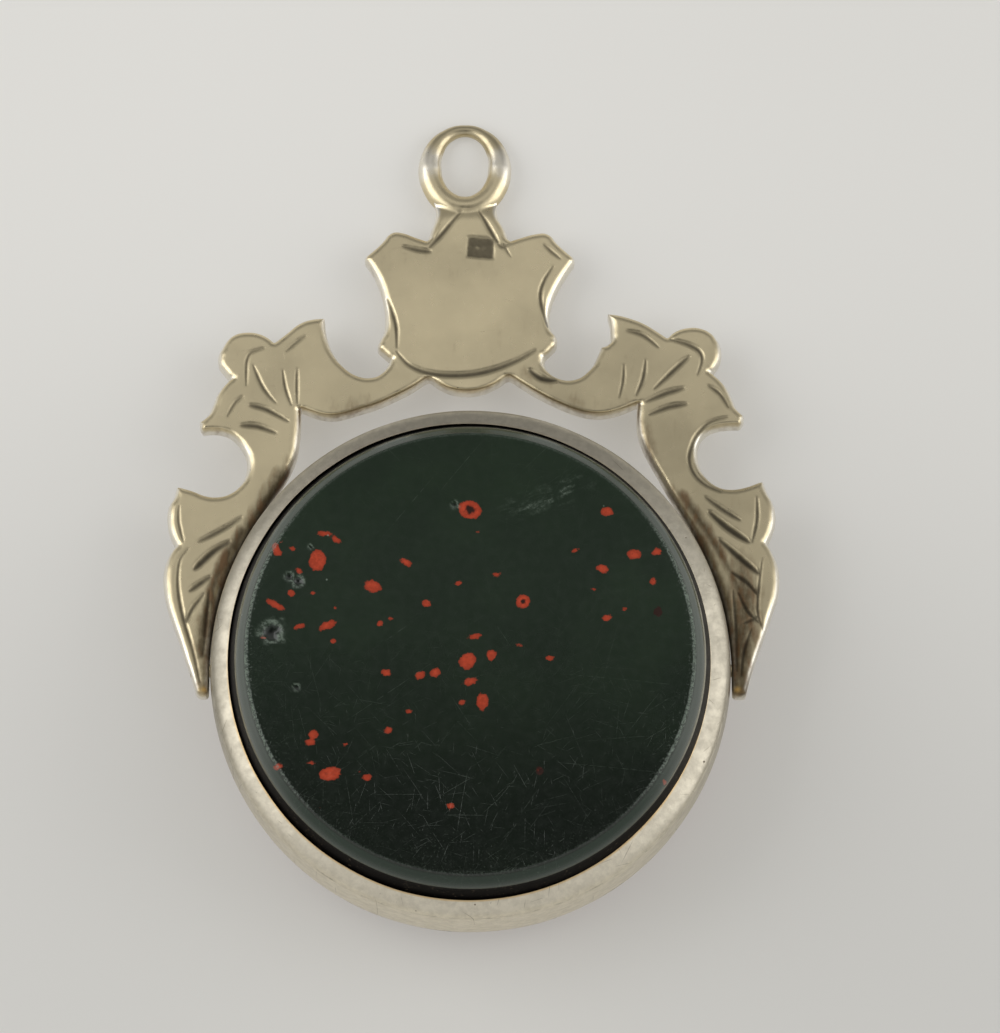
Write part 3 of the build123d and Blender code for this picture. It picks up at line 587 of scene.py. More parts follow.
def bloodstone_material(name, colours, stones):
    """Bloodstone, ground flat and polished: nearly black green jasper with iron red spots. Years on a desk left
    hairline scratches, densest near the lower edge, and a bruised pale edge round the flat, with a painted highlight
    on it. The bevel has a painted sheen, and the gap under the lip holds dirt with painted shade and painted glints."""
    material, place = new_material(name)
    x, y, z = place.into("SeparateXYZ", out=(0, 1, 2))
    grain = cloud(place, 0.12, 5, 0.65)
    fine = cloud(place, 0.4, 4, 0.6, 9.0)
    colour = spotted_green(place, y, grain, fine, colours)
    radius = x.into("CombineXYZ", y).into("VectorMath", out="Value", operation="LENGTH")
    inward = stones.table_radius / MM - radius
    # hairline scratches, more of them towards the lower edge, each one broken by the grain, and long faint ones
    patches = cloud(place, 3.0, 3, 0.5, 13.0).into("ease", 0.36, 0.66, 0.30, 1.0)
    lines = total(scratches(place, size, width, 0.85, shift) for size, width, shift in STONE_SCRATCHES)
    lines = lines.into("held", y.into("ease", 2.0, -8.0, 0.22, 1.0) * patches)
    lines = lines * grain.into("ease", 0.38, 0.60, 0.15, 1.0)
    long_lines = scratches(place, 6.5, 0.03, 0.9, 61.3) + scratches(place, 8.0, 0.03, 0.9, 77.7)
    long_lines = long_lines * fine.into("ease", 0.38, 0.62)
    # dust of bruises in the lower third and near the edge
    dust = grain.into("ease", 0.58, 0.72) * y.into("ease", -2.5, -8.5, 0.0, 0.5)
    worn_edge = inward.into("ease", 2.4, 0.3) * inward.into("ease", -0.05, 0.1) * y.into("ease", 5.0, -5.0, 0.0, 0.7)
    worn_edge = worn_edge * x.into("ease", 5.0, -4.0, 0.45, 1.0)
    dust = (dust + worn_edge * grain.into("ease", 0.52, 0.70)) * patches
    # bruised edge of the flat: a thin pale line with a painted highlight, strongest at the sides
    sides = y.into("ease", 7.5, 3.0, 0.12, 1.0) * y.into("ease", -8.0, -3.0, 0.12, 1.0)
    line = abs(inward - 0.05).into("ease", 0.12, 0.03) * grain.into("ease", 0.40, 0.62, 0.1, 1.0)
    crumbs = inward.into("ease", 0.45, 0.05) * inward.into("ease", -0.02, 0.02)
    crumbs = crumbs * grain.into("ease", 0.56, 0.70, 0.0, 0.45)
    bruise_and_highlight = line.into("larger", crumbs) * sides
    pit = attribute(place, "pit")
    mote, chance = specks(place, 1.3, 0.045, 0.02)
    powder = total((lines * 0.25, long_lines * 0.17, dust * 0.24, stone_scuff(place, grain) * 0.55, bruise_and_highlight * 0.9,
                    pit * grain.into("ease", 0.36, 0.6, 0.2, 1.0) * 0.9,
                    mote * chance.into("ease", 0.55, 1.0, 0.0, 0.7)))
    powder = powder.into("larger", 0.0).into("Math", 1.0, operation="MINIMUM")
    # painted sheen: a paler green on the bevel
    colour = inward.into("ease", 0.0, -0.10, 0.0, 0.36).into("blend", colour, paint(colours.stone_bevel_sheen))
    colour = powder.into("blend", colour, paint(colours.scratch))
    colour = pit.into("held", -1.0).into("blend", colour, paint(colours.stone_pit))
    # under the lip: packed dirt and painted shade, matt and black, reaching higher towards the lower edge, with a few
    # pale painted glints
    above_foot = abs(z - AXIS_HEIGHT / MM) - (AXIS_HEIGHT - stones.bevel_drop) / MM
    hidden = (above_foot - y.into("ease", -9.5, -1.0, 0.32, 0.03)).into("ease", 0.08, -0.04)
    glint = grain.into("ease", 0.55, 0.66) * fine.into("ease", 0.48, 0.60)
    dirt_shade_and_glints = glint.into("blend", paint(colours.dirt_and_shade_under_lip), paint(colours.glints_under_lip))
    colour = hidden.into("blend", colour, dirt_shade_and_glints)
    rough = fine.into("ease", 0.3, 0.7, 0.14, 0.22) + powder * 0.35 + hidden * 0.4
    # wax dulls the bevel's lower part, and its sides are keenly polished
    waxed = above_foot.into("ease", 1.28, 1.15) * y.into("ease", -3.0, -7.5)
    gloss = sides * inward.into("ease", 0.0, -0.12, 0.0, 0.80) + 0.5 - waxed * 0.26
    gloss = gloss * y.into("ease", 4.0, 8.5, 1.0, 0.72) * (1.0 - hidden * 0.84)
    relief = lines * -0.003 + bruise_and_highlight * grain * -0.03 + fine * 0.0015
    return finish_material(material, relief, Base_Color=colour, Roughness=rough, Specular_IOR_Level=gloss, IOR=1.54)


def carnelian_material(name, colours):
    """Carnelian, ground and polished: warm red brown chalcedony, cloudy and banded, with a few scratches."""
    material, place = new_material(name)
    bands = cloud(place, 0.9, 4, 0.5, 4.0)
    hair = scratches(place, 1.5, 0.03, 0.7, 3.7) + scratches(place, 2.4, 0.035, 0.6, 12.9)
    colour = cloud(place, 4.0, 4, 0.55).into("ease", 0.3, 0.7)
    colour = colour.into("blend", paint(colours.carnelian, 0.55), paint(colours.carnelian))
    colour = bands.into("ease", 0.5, 0.8, 0.0, 0.5).into("blend", colour, paint(colours.carnelian_band))
    colour = hair.into("held", 0.25).into("blend", colour, paint(colours.scratch))
    return finish_material(material, hair * -0.003, Base_Color=colour, IOR=1.54,
                           Roughness=bands.into("ease", 0.3, 0.7, 0.12, 0.2))


def cement_material(name, colours):
    """Jeweller's cement, poured: dull, grainy and full of small holes."""
    material, place = new_material(name)
    grain = cloud(place, 0.25, 5, 0.65)
    colour = grain.into("ease", 0.35, 0.7).into("blend", paint(colours.cement, 0.6), paint(colours.cement))
    rough = cloud(place, 1.2, 3, 0.5, 6.0).into("ease", 0.3, 0.7, 0.75, 0.95)
    return finish_material(material, grain * 0.06, Base_Color=colour, Roughness=rough)


def pin_material(name, colours):
    """Silver wire, drawn and worn by turning: greyish, grimy, with fine rings round the pin's axis."""
    material, place = new_material(name)
    along = place.into("SeparateXYZ").into("CombineXYZ")
    rings = add(place.tree, "TexNoise", {"Vector": along, "Scale": 12.0, "Detail": 3.0})
    grime = cloud(place, 0.4).into("ease", 0.45, 0.8, 0.0, 0.7)
    colour = grime.into("blend", paint(colours.silver), paint(colours.tarnish))
    return finish_material(material, rings * 0.004, Base_Color=colour, Metallic=1.0,
                           Roughness=rings.into("ease", 0.3, 0.7, 0.30, 0.45))


def floor_material(name, stage):
    """Matt card, painted: a pale, even grey with the faintest mottling, and a soft glow that the camera, metal
    and glass see, which lifts the shadows a little."""
    material, place = new_material(name)
    tree = material.node_tree
    x, y, _ = place.into("SeparateXYZ", out=(0, 1, 2))
    colour = cloud(place, 40.0, 2).into("ease", 0.3, 0.7).into("blend", paint(stage.floor), paint(stage.floor, 0.985))
    card = add(tree, "BsdfPrincipled", {"Base Color": colour, "Roughness": 0.9, "Specular IOR Level": 0.2})
    # the glow is painted light: brighter towards the back and the left, and a little warm
    level = y.into("ease", -18.0, 28.0, 0.56, 0.86) - x.into("ease", -10.0, 28.0, 0.0, 0.07)
    glow = level.into("CombineColor", level * 0.975, level * 0.925).into("Emission", 1.0)
    seen = total(add(tree, "LightPath", out=("Is Camera Ray", "Is Glossy Ray", "Is Transmission Ray")))
    seen = seen.into("Math", 1.0, operation="MINIMUM") * 0.36
    add(tree, "OutputMaterial", [seen.into("MixShader", card, glow)], out=())
    return material


def clipped(value):
    """Value held between 0 and 1."""
    return max(0.0, min(1.0, value))


def place_yoke(yoke):
    """Turn and lift that bring a piece, modelled flat about the swivel's axis, to its lean over the table."""
    return Matrix.Translation(AXIS) @ Matrix.Rotation(-yoke.lean, 4, "X")


def turn_over(bm):
    """Turn a piece of the drum upside down."""
    bmesh.ops.rotate(bm, cent=(0, 0, 0), matrix=Matrix.Rotation(math.pi, 3, "X"), verts=bm.verts)


def new_mesh(name, bm, material):
    """A mesh object made of a bmesh, in one material."""
    mesh = bpy.data.meshes.new(name)
    bm.to_mesh(mesh)
    bm.free()
    mesh.materials.append(material)
    made = bpy.data.objects.new(name, mesh)
    bpy.context.scene.collection.objects.link(made)
    return made


def finish_piece(name, bm, material, body, replaced):
    """Make a piece of a bmesh, give it its material, tie it to its body and hide the CAD node that it replaces."""
    piece = new_mesh(name, bm, material)
    piece.data.shade_smooth()
    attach(piece, body)
    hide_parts(replaced)


def finish_yoke_piece(name, bm, material, replaced, yoke):
    """Bring a piece, modelled flat, to the yoke's lean and finish it."""
    bmesh.ops.recalc_face_normals(bm, faces=bm.faces)
    bmesh.ops.transform(bm, matrix=place_yoke(yoke), verts=bm.verts)
    finish_piece(name, bm, material, "yoke", replaced)


def finish_drum_piece(name, bm, material, replaced):
    """Lift a piece, modelled about the drum's middle, to its place and finish it."""
    bmesh.ops.translate(bm, vec=AXIS, verts=bm.verts)
    finish_piece(name, bm, material, "drum", replaced)


def mesh_layers(bm, *names):
    """New layers of numbers on a bmesh's vertices, by name."""
    return {name: bm.verts.layers.float.new(name) for name in names}


def curve_to_bmesh(curve):
    """Mesh of a curve as a bmesh. The curve is used up."""
    carrier = bpy.data.objects.new(curve.name, curve)
    bpy.context.scene.collection.objects.link(carrier)
    bpy.context.view_layer.update()
    mesh = bpy.data.meshes.new_from_object(carrier)
    bm = bmesh.new()
    bm.from_mesh(mesh)
    bpy.data.objects.remove(carrier)
    bpy.data.curves.remove(curve)
    bpy.data.meshes.remove(mesh)
    bmesh.ops.remove_doubles(bm, verts=bm.verts, dist=1e-7)
    return bm


def cut_in_two(bm, faces, axis, low, high, cell):
    """Cut flat faces across an axis again and again, until each strip is one cell wide."""
    cells = round((high - low) / cell)
    if cells < 2 or not faces:
        return faces
    middle = low + cell * (cells // 2)
    at, across = Vector((0, 0, 0)), Vector((0, 0, 0))
    at[axis], across[axis] = middle, 1
    parts = list({v for f in faces for v in f.verts}) + list({e for f in faces for e in f.edges}) + faces
    got = bmesh.ops.bisect_plane(bm, geom=parts, plane_co=at, plane_no=across, dist=1e-9)["geom"]
    got = [part for part in got if isinstance(part, bmesh.types.BMFace)]
    near = [face for face in got if face.calc_center_median()[axis] < middle]
    far = [face for face in got if face.calc_center_median()[axis] >= middle]
    return cut_in_two(bm, near, axis, low, middle, cell) + cut_in_two(bm, far, axis, middle, high, cell)


def cut_to_cells(bm, face, cell):
    """Cut one flat face into a grid of square cells, with the outline kept, and name the new faces."""
    faces = [face]
    for axis in (0, 1):
        low = math.floor(min(v.co[axis] for f in faces for v in f.verts) / cell) * cell
        high = math.ceil(max(v.co[axis] for f in faces for v in f.verts) / cell) * cell
        faces = cut_in_two(bm, faces, axis, low, high, cell)
    return faces


def trail(points, step):
    """Points along a smooth line through a few points, with the share of its length reached at each."""
    knots = [Vector((x, y, 0)) for x, y in points]
    line = []
    for index in range(len(knots) - 1):
        here, there = knots[index], knots[index + 1]
        before, after = knots[max(index - 1, 0)], knots[min(index + 2, len(knots) - 1)]
        count = max(2, round((there - here).length / step))
        part = geometry.interpolate_bezier(here, here + (there - before) / 6, there - (after - here) / 6, there,
                                           count + 1)
        line += part[:-1]
    line.append(knots[-1])
    return [(point, index / (len(line) - 1)) for index, point in enumerate(line)]


class Trails:
    """Look-up of the lines that cuts or tarnish follow."""

    def __init__(self, trails, step):
        self.samples = [(point, reach, value, share) for reach, value, points in trails
                        for point, share in trail(points, step)]
        self.widest = max(reach for _, reach, _, _ in self.samples)
        self.tree = kdtree.KDTree(len(self.samples))
        for index, (point, _, _, _) in enumerate(self.samples):
            self.tree.insert(point, index)
        self.tree.balance()

    def near(self, point):
        """For each point of a line near this one: the line's reach and value, the share of its length and the gap."""
        for _, index, gap in self.tree.find_range(point, self.widest):
            yield *self.samples[index][1:], gap


def yoke_outline():
    """Closed outline of the yoke as a bmesh of edges, in metres, its corners a little rounded by wear."""
    curve = bpy.data.curves.new("outline", "CURVE")
    curve.dimensions = "2D"
    curve.fill_mode = "NONE"
    curve.resolution_u = 9
    spline = curve.splines.new("BEZIER")
    knots = [(point, index == 0) for stroke in YOKE_STROKES for index, point in enumerate(stroke)]
    spline.bezier_points.add(len(knots) - 1)
    for knot, (point, corner) in zip(spline.bezier_points, knots):
        knot.co = (point[0] * MM, point[1] * MM, 0)
        knot.handle_left_type = knot.handle_right_type = "VECTOR" if corner else "AUTO"
    spline.use_cyclic_u = True
    bm = curve_to_bmesh(curve)
    for _ in range(3):
        bmesh.ops.smooth_vert(bm, verts=bm.verts, factor=0.5, use_axis_x=True, use_axis_y=True)
    return bm


def edge_drop(distance, radius):
    """How far a rounded edge has fallen below the face at a distance from the outline."""
    if distance >= radius:
        return 0.0
    return radius - math.sqrt(max(0.0, radius ** 2 - (radius - distance) ** 2))


class Rim:
    """The plate's outline, for looking up how far off it is."""

    def __init__(self, bm):
        start = next(iter(bm.verts))
        loop, vert, edge = [start.co.copy()], start, None
        while True:
            edge = next(e for e in vert.link_edges if e != edge)
            vert = edge.other_vert(vert)
            if vert == start:
                break
            loop.append(vert.co.copy())
        area = sum(a.x * b.y - b.x * a.y for a, b in zip(loop, loop[1:] + loop[:1]))
        self.loop = loop if area > 0 else loop[::-1]
        self.tree = kdtree.KDTree(len(loop))
        for index, point in enumerate(self.loop):
            self.tree.insert(point, index)
        self.tree.balance()

    def look(self, point):
        """Distance from a point to the outline, and the way that the outline faces there."""
        _, index, _ = self.tree.find(point)
        best, facing = math.inf, Vector((0, 0, 0))
        for first, second in ((index - 1, index), (index, (index + 1) % len(self.loop))):
            start, end = self.loop[first], self.loop[second]
            along = end - start
            share = clipped((point - start).dot(along) / max(along.length_squared, 1e-18))
            best = min(best, (start + along * share - point).length)
            facing += Vector((along.y, -along.x, 0)).normalized()
        return best, facing.normalized()


def tone_at(point):
    """Share of its colour that the plate keeps at a point, from the darker patches near it."""
    weights = [(math.exp(-((point.x - x) ** 2 + (point.y - y) ** 2) / (2 * TONE_SPREAD ** 2)) + 1e-9, share)
               for x, y, share in TONE_PATCHES]
    return sum(weight * share for weight, share in weights) / sum(weight for weight, _ in weights)


def punch_drop(x, y):
    """Depth of the bare punched recess, in millimetres: a worn rectangle with soft, uneven walls."""
    middle_x, middle_y, half_width, half_height = PUNCH
    dx, dy = x - middle_x, y - middle_y
    dx, dy = dx - 0.04 * dy, dy + 0.07 * dx  # the punch stood a little askew
    uneven = 0.05 * noise.noise(Vector((x * 2.3, y * 2.3, 4.0)))
    inside = min(half_width - abs(dx), half_height - abs(dy)) + uneven
    share = clipped(inside / PUNCH_WALL)
    share = share * share * (3 - 2 * share)
    worn = 0.35 * math.exp(-((dx / 0.42) ** 2 + ((dy + 0.03) / 0.16) ** 2))
    return PUNCH_DEPTH * share * (1 - worn + 0.25 * noise.noise(Vector((x * 5, y * 5, 1.0))))


def graver_cut(point, cuts, slope):
    """Depth of the cuts at a point of the plate, in millimetres, and how dark they are there. Each cut swells
    from a thin start to its widest point and thins again."""
    depth = mark = 0.0
    for reach, widest, share, gap in cuts.near(point):
        swell = share / widest if share < widest else (1 - share) / (1 - widest)
        reach *= 0.35 + 0.65 * math.sqrt(clipped(swell * 1.4))
        if gap < reach:
            curve = 0.5 + 0.5 * math.cos(math.pi * gap / reach)
            depth = max(depth, reach * 2 * slope * curve)
            mark = max(mark, curve ** 0.8 * min(0.88, 0.46 + reach * 1.5))
    return depth, mark


def ring_knots(ring, count):
    """Points on the middle line of the oval ring, each with the wire's radius there."""
    tip = ring.base + ring.wire / 2 + ring.hole_length + ring.worn_wire / 2
    knots = []
    for index in range(count):
        angle = 2 * math.pi * index / count
        wire = ring.wire + (ring.worn_wire - ring.wire) * max(0.0, math.sin(angle)) ** 1.4
        knots.append((Vector((-ring.offset + (ring.hole_width + ring.wire) / 2 * math.cos(angle),
                              (ring.base + tip) / 2 + (tip - ring.base) / 2 * math.sin(angle), 0)), wire / 2))
    return knots


def wire_height(point, knots):
    """Height of the wire's top over its middle at a point of the plate, or how far off the wire the point is."""
    flat = Vector((point.x, point.y, 0))
    gap, radius = min(((flat - knot).length, radius) for knot, radius in knots)
    return math.sqrt(radius ** 2 - gap ** 2) if gap < radius else radius - gap


def soldered(first, second, width):
    """The higher of two surfaces, with solder of a width run into the corner between them."""
    near = max(0.0, 1 - abs(first - second) / width)
    return max(first, second) + near * near * width / 4


def cut_plate(bm, cell):
    """Fill the outline, part it into a front and a back, cut both into cells, and name the points of each."""
    bmesh.ops.contextual_create(bm, geom=bm.edges[:])
    bm.normal_update()
    sheet = next(iter(bm.faces))
    # narrow bands along the outline carry the rounded edge
    for inset in (0.012, 0.028, 0.04):
        bmesh.ops.inset_region(bm, faces=[sheet], thickness=inset * MM, use_even_offset=True, use_boundary=True)
    below = bm.faces[:]
    made = bmesh.ops.extrude_face_region(bm, geom=below, use_keep_orig=True)["geom"]
    above = [part for part in made if isinstance(part, bmesh.types.BMFace)]
    front = cut_to_cells(bm, max(above, key=lambda face: len(face.verts)), cell)
    back = cut_to_cells(bm, sheet, 2 * cell)
    return [{v for face in cells + [f for f in bands if f.is_valid] for v in face.verts}
            for cells, bands in ((front, above), (back, below))]


class FOB_OT_yoke(bpy.types.Operator):
    """Saw, engrave and round the silver plate that carries the drum"""
    bl_idname = "fob.yoke"
    bl_label = "Engraved yoke"

    def execute(self, context):
        yoke, colours = context.scene.fob_yoke, context.scene.fob_colours
        bm = yoke_outline()
        layers = mesh_layers(bm, "cut", "stain_and_shade", "rim", "tone", "warm_glint")
        rim = Rim(bm)
        front, back = cut_plate(bm, yoke.cell)
        cuts = Trails([(width * 0.62, widest, points) for width, widest, points in GRAVER_CUTS], 0.04)
        tarnish_and_shade_trails = Trails(TARNISH_AND_SHADE_TRAILS, 0.05)
        half, solder = yoke.thickness / 2, yoke.solder
        wire = ring_knots(context.scene.fob_ring, 180)
        for vert in front | back:
            flat = vert.co.copy()
            away, facing = rim.look(flat)
            point = flat / MM
            inward = max(0.0, -facing.y)
            # painted shade on the edges that face -Y, close to the outline
            stain_and_shade = 0.25 * inward * max(0.0, 1 - away / (0.12 * MM))
            # above the neck the plate thins out under the ring's solder
            flow = max(0.0, (point.y - NECK_START) / NECK_LENGTH)
            thick = max(0.0, 1 - flow)
            fall = min(0.42 * flow ** 2.2 * MM, half - 0.06 * MM)
            near_ring = wire_height(flat, wire) - 0.015 * MM if flow > 0 else 0.0
            if vert in back:
                drop = edge_drop(away, yoke.edge_round) * thick + fall
                vert.co.z = -soldered(half - drop, near_ring, solder) if flow > 0 else drop - half
                vert[layers["rim"]], vert[layers["tone"]], vert[layers["stain_and_shade"]] = away / MM, 0.85, stain_and_shade
                continue
            depth, mark = graver_cut(point, cuts, yoke.cut_slope)
            punch = punch_drop(point.x, point.y)
            for reach, strength, _, gap in tarnish_and_shade_trails.near(point):
                if gap < reach:
                    stain_and_shade = max(stain_and_shade, strength * (1 - gap / reach) ** 0.7)
            # hands left slight waves on the face and rounded the outer edges most, except at the legs' ends
            hand = 0.010 * noise.noise(point * 0.55) + 0.004 * noise.noise(point * 1.7)
            slender = max(0.1, min(1.0, (point.y + 0.5) / 4.5))
            handled = max(facing.x ** 2, 0.8 * max(0.0, facing.y))
            rounding = yoke.edge_round * (1 - 0.5 * inward) + yoke.side_round * handled * slender
            flat.z = half - edge_drop(away, rounding) * thick + (hand - max(depth, punch)) * MM - fall
            if flow > 0:
                flat.z = soldered(flat.z, near_ring, solder)
            vert.co = flat
            vert[layers["cut"]] = max(mark, min(1.0, punch / 0.055) * 0.72)
            vert[layers["stain_and_shade"]] = stain_and_shade
            # edges that face the sides get the bare silver of the painted highlight
            vert[layers["rim"]] = away / MM + 0.3 * (1 - facing.x ** 2)
            vert[layers["tone"]] = tone_at(point)
            # painted warm glint at the ends of the legs
            vert[layers["warm_glint"]] = math.exp(-((abs(point.x) - 12.45) / 0.16) ** 2 - ((point.y + 1.12) / 0.14) ** 2)
        finish_yoke_piece("engraved_yoke", bm, silver_material("sterling_engraved", colours, engraved=True),
                          "yoke_plate", yoke)
        return {"FINISHED"}


class FOB_OT_ring(bpy.types.Operator):
    """Bend the oval ring, worn thin at its far end"""
    bl_idname = "fob.ring"
    bl_label = "Suspension ring"

    def execute(self, context):
        yoke, ring, colours = context.scene.fob_yoke, context.scene.fob_ring, context.scene.fob_colours
        curve = bpy.data.curves.new("ring", "CURVE")
        curve.dimensions = "3D"
        curve.resolution_u = 10
        curve.bevel_depth = ring.wire / 2
        curve.bevel_resolution = 8
        spline = curve.splines.new("BEZIER")
        knots = ring_knots(ring, 12)
        spline.bezier_points.add(len(knots) - 1)
        for knot, (point, radius) in zip(spline.bezier_points, knots):
            knot.co = point
            knot.handle_left_type = knot.handle_right_type = "AUTO"
            knot.radius = radius / (ring.wire / 2)
        spline.use_cyclic_u = True
        bm = curve_to_bmesh(curve)
        layers = mesh_layers(bm, "cut", "stain_and_shade", "rim", "tone", "warm_glint")
        middle = Vector((-ring.offset, ring.base + ring.wire / 2 + ring.hole_length / 2, 0))
        for vert in bm.verts:
            outward = (vert.co - middle).normalized()
            # the ring's sides get the bare silver of a painted highlight
            vert[layers["rim"]] = 0.08 + 0.50 * (1 - outward.x ** 2)
            # the ring darkens towards its far end
            vert[layers["tone"]] = 0.90 - 0.22 * max(0.0, outward.y)
            # slight waves left by the file
            place = vert.co / MM * 1.1
            vert.co += Vector((noise.noise(place), noise.noise(place + Vector((9, 0, 0))), 0)) * 0.012 * MM
        finish_yoke_piece("oval_ring", bm, silver_material("sterling_wire", colours, engraved=True),
                          "suspension_ring", yoke)
        return {"FINISHED"}


def corners(*points):
    """Corners of a profile, each given as its radius and height."""
    return [Vector((radius, 0, height)) for radius, height in points]


def bend(start, start_handle, end_handle, end, count):
    """Points of one smooth curve of a profile, without its last point."""
    return geometry.interpolate_bezier(*corners(start, start_handle, end_handle, end), count + 1)[:-1]


def band_profile(drum):
    """Closed profile of the band: a slight belly round a straight bore."""
    edge, half = band_high.x - drum.belly, drum.band_half_width
    full, bore = edge + drum.belly / 0.75, edge - drum.band_wall
    return bend((edge, -half), (full, -half / 3), (full, half / 3), (edge, half), 14) + corners(
        (edge, half), (bore, half), (bore, -half))


def bezel_profile(drum):
    """Closed profile of a bezel: a rounded shoulder, the thin rubbed lip, and the wall behind the stone."""
    edge, joint = band_high.x - drum.belly, drum.band_half_width
    bore, lift = edge - drum.band_wall - 0.01 * MM, joint + 0.01 * MM
    lip, lip_edge = drum.lip_radius, drum.lip_radius + drum.lip_wall
    top, crest, worn = drum.lip_height, drum.lip_height - 0.02 * MM, drum.lip_height - 0.04 * MM
    shoulder = bend((edge, joint), (edge - 0.019 * MM, joint + 0.34 * MM), (lip_edge + 0.34 * MM, crest - 0.17 * MM),
                    (lip_edge, crest), 18)
    rubbed = bend((lip_edge, crest), (lip_edge - 0.03 * MM, top), (lip, top), (lip, worn), 6)
    return shoulder[1:] + rubbed + corners((lip, worn), (drum.seat_radius, top - 0.5 * MM),
                                           (drum.seat_radius, drum.bezel_foot), (bore, drum.bezel_foot),
                                           (bore, lift), (edge, lift))


def spun_ring(profile, steps):
    """Spin a closed profile, with X as radius and Z as height, once round the drum."""
    bm = bmesh.new()
    verts = [bm.verts.new(point) for point in profile]
    edges = [bm.edges.new((verts[i - 1], verts[i])) for i in range(len(verts))]
    bmesh.ops.spin(bm, geom=verts + edges, axis=(0, 0, 1), cent=(0, 0, 0), angle=2 * math.pi, steps=steps,
                   use_merge=True)
    bmesh.ops.remove_doubles(bm, verts=bm.verts, dist=1e-8)
    bmesh.ops.recalc_face_normals(bm, faces=bm.faces)
    return bm


def work_wall(bm, drum, amount, size):
    """Give a spun wall the shape that hand work left: slight waves, an oval belly and a lip rubbed aside."""
    layer = mesh_layers(bm, "reach")["reach"]
    edge = band_high.x - drum.belly
    for vert in bm.verts:
        flat = Vector((vert.co.x, vert.co.y, 0))
        reach = flat.length
        vert[layer] = reach / MM
        vert.co += flat.normalized() * noise.noise(vert.co / (size * MM)) * amount * MM
        belly = max(0.0, 1 - (vert.co.z / drum.band_half_width) ** 2)
        inward = clipped((edge - reach) / (edge - drum.lip_radius))
        vert.co.x *= 1 + drum.oval * belly - drum.lip_squeeze * inward
        vert.co.y *= 1 - 0.2 * drum.oval * belly
        vert.co.x -= drum.lip_aside * inward


class FOB_OT_drum(bpy.types.Operator):
    """Bend the band and turn the two bezels that hold the stones"""
    bl_idname = "fob.drum"
    bl_label = "Band and bezels"

    def execute(self, context):
        drum, colours = context.scene.fob_drum, context.scene.fob_colours
        silver = drum_silver_material("sterling_turned", colours, drum)
        bm = spun_ring(band_profile(drum), drum.steps)
        work_wall(bm, drum, 0.008, 3.0)
        finish_drum_piece("worn_band", bm, silver, "rim_band")
        for name, node in (("upper_bezel", "front_bezel"), ("lower_bezel", "back_bezel")):
            bm = spun_ring(bezel_profile(drum), drum.steps)
            work_wall(bm, drum, 0.012, 2.2)
            if node == "back_bezel":
                turn_over(bm)
            finish_drum_piece(name, bm, silver, node)
        return {"FINISHED"}


def spot_field(point):
    """Distance inside the nearest red spot, in millimetres, and how dark the spot is there."""
    best, dark = -1.0, 0.0
    for spot in RED_SPOTS + DULL_SPOTS:
        x, y, half_length, half_width, turn, darkness = spot
        dx, dy = point.x - x, point.y - y
        if max(abs(dx), abs(dy)) > 1.2:
            continue
        angle = math.radians(turn)
        along = dx * math.cos(angle) + dy * math.sin(angle)
        across = -dx * math.sin(angle) + dy * math.cos(angle)
        share = math.hypot(along / half_length, across / half_width)
        inside = (1 - share) * min(half_length, half_width)
        if inside > best:
            best, dark = inside, darkness if spot in DULL_SPOTS else clipped(darkness * (1.15 - share * 1.9))
    return best, dark


def tablet(stones, cell):
    """A stone tablet about the drum's middle: flat top, worn corner, bevel, sloping shoulder and girdle."""
    top, flat, drop = AXIS_HEIGHT, stones.table_radius, stones.bevel_drop
    foot = flat + stones.bevel_width
    bm = bmesh.new()
    radius = flat - stones.corner
    bmesh.ops.create_circle(bm, cap_ends=True, segments=288, radius=radius)
    bmesh.ops.translate(bm, vec=(0, 0, top), verts=bm.verts)
    bm.normal_update()
    if cell:
        cut_to_cells(bm, next(iter(bm.faces)), cell)
    rim = [edge for edge in bm.edges if edge.is_boundary]
    # worn corner, then the bevel, both given as shares of their width and height
    rings = [(flat + out * stones.corner, top - down * stones.corner)
             for out, down in ((-0.55, 0.10), (-0.15, 0.42), (0.12, 0.95))]
    rings += [(flat + out * stones.bevel_width, top - down * drop)
              for out, down in ((0.42, 0.24), (0.72, 0.46), (0.91, 0.72))]
    rings += [(foot - 0.01 * MM, top - drop + 0.05 * MM), (foot + 0.01 * MM, top - drop - 0.02 * MM),
              (stone_high.x, stone_low.z - AXIS_HEIGHT + stones.girdle), (stone_high.x, stone_low.z - AXIS_HEIGHT)]
    for next_radius, height in rings:
        made = bmesh.ops.extrude_edge_only(bm, edges=rim)["geom"]
        rim = [part for part in made if isinstance(part, bmesh.types.BMEdge)]
        verts = [part for part in made if isinstance(part, bmesh.types.BMVert)]
        share = next_radius / radius
        bmesh.ops.scale(bm, vec=(share, share, 1), verts=verts)
        for vert in verts:
            vert.co.z = height
        radius = next_radius
    bmesh.ops.contextual_create(bm, geom=rim)
    bmesh.ops.recalc_face_normals(bm, faces=bm.faces)
    return bm


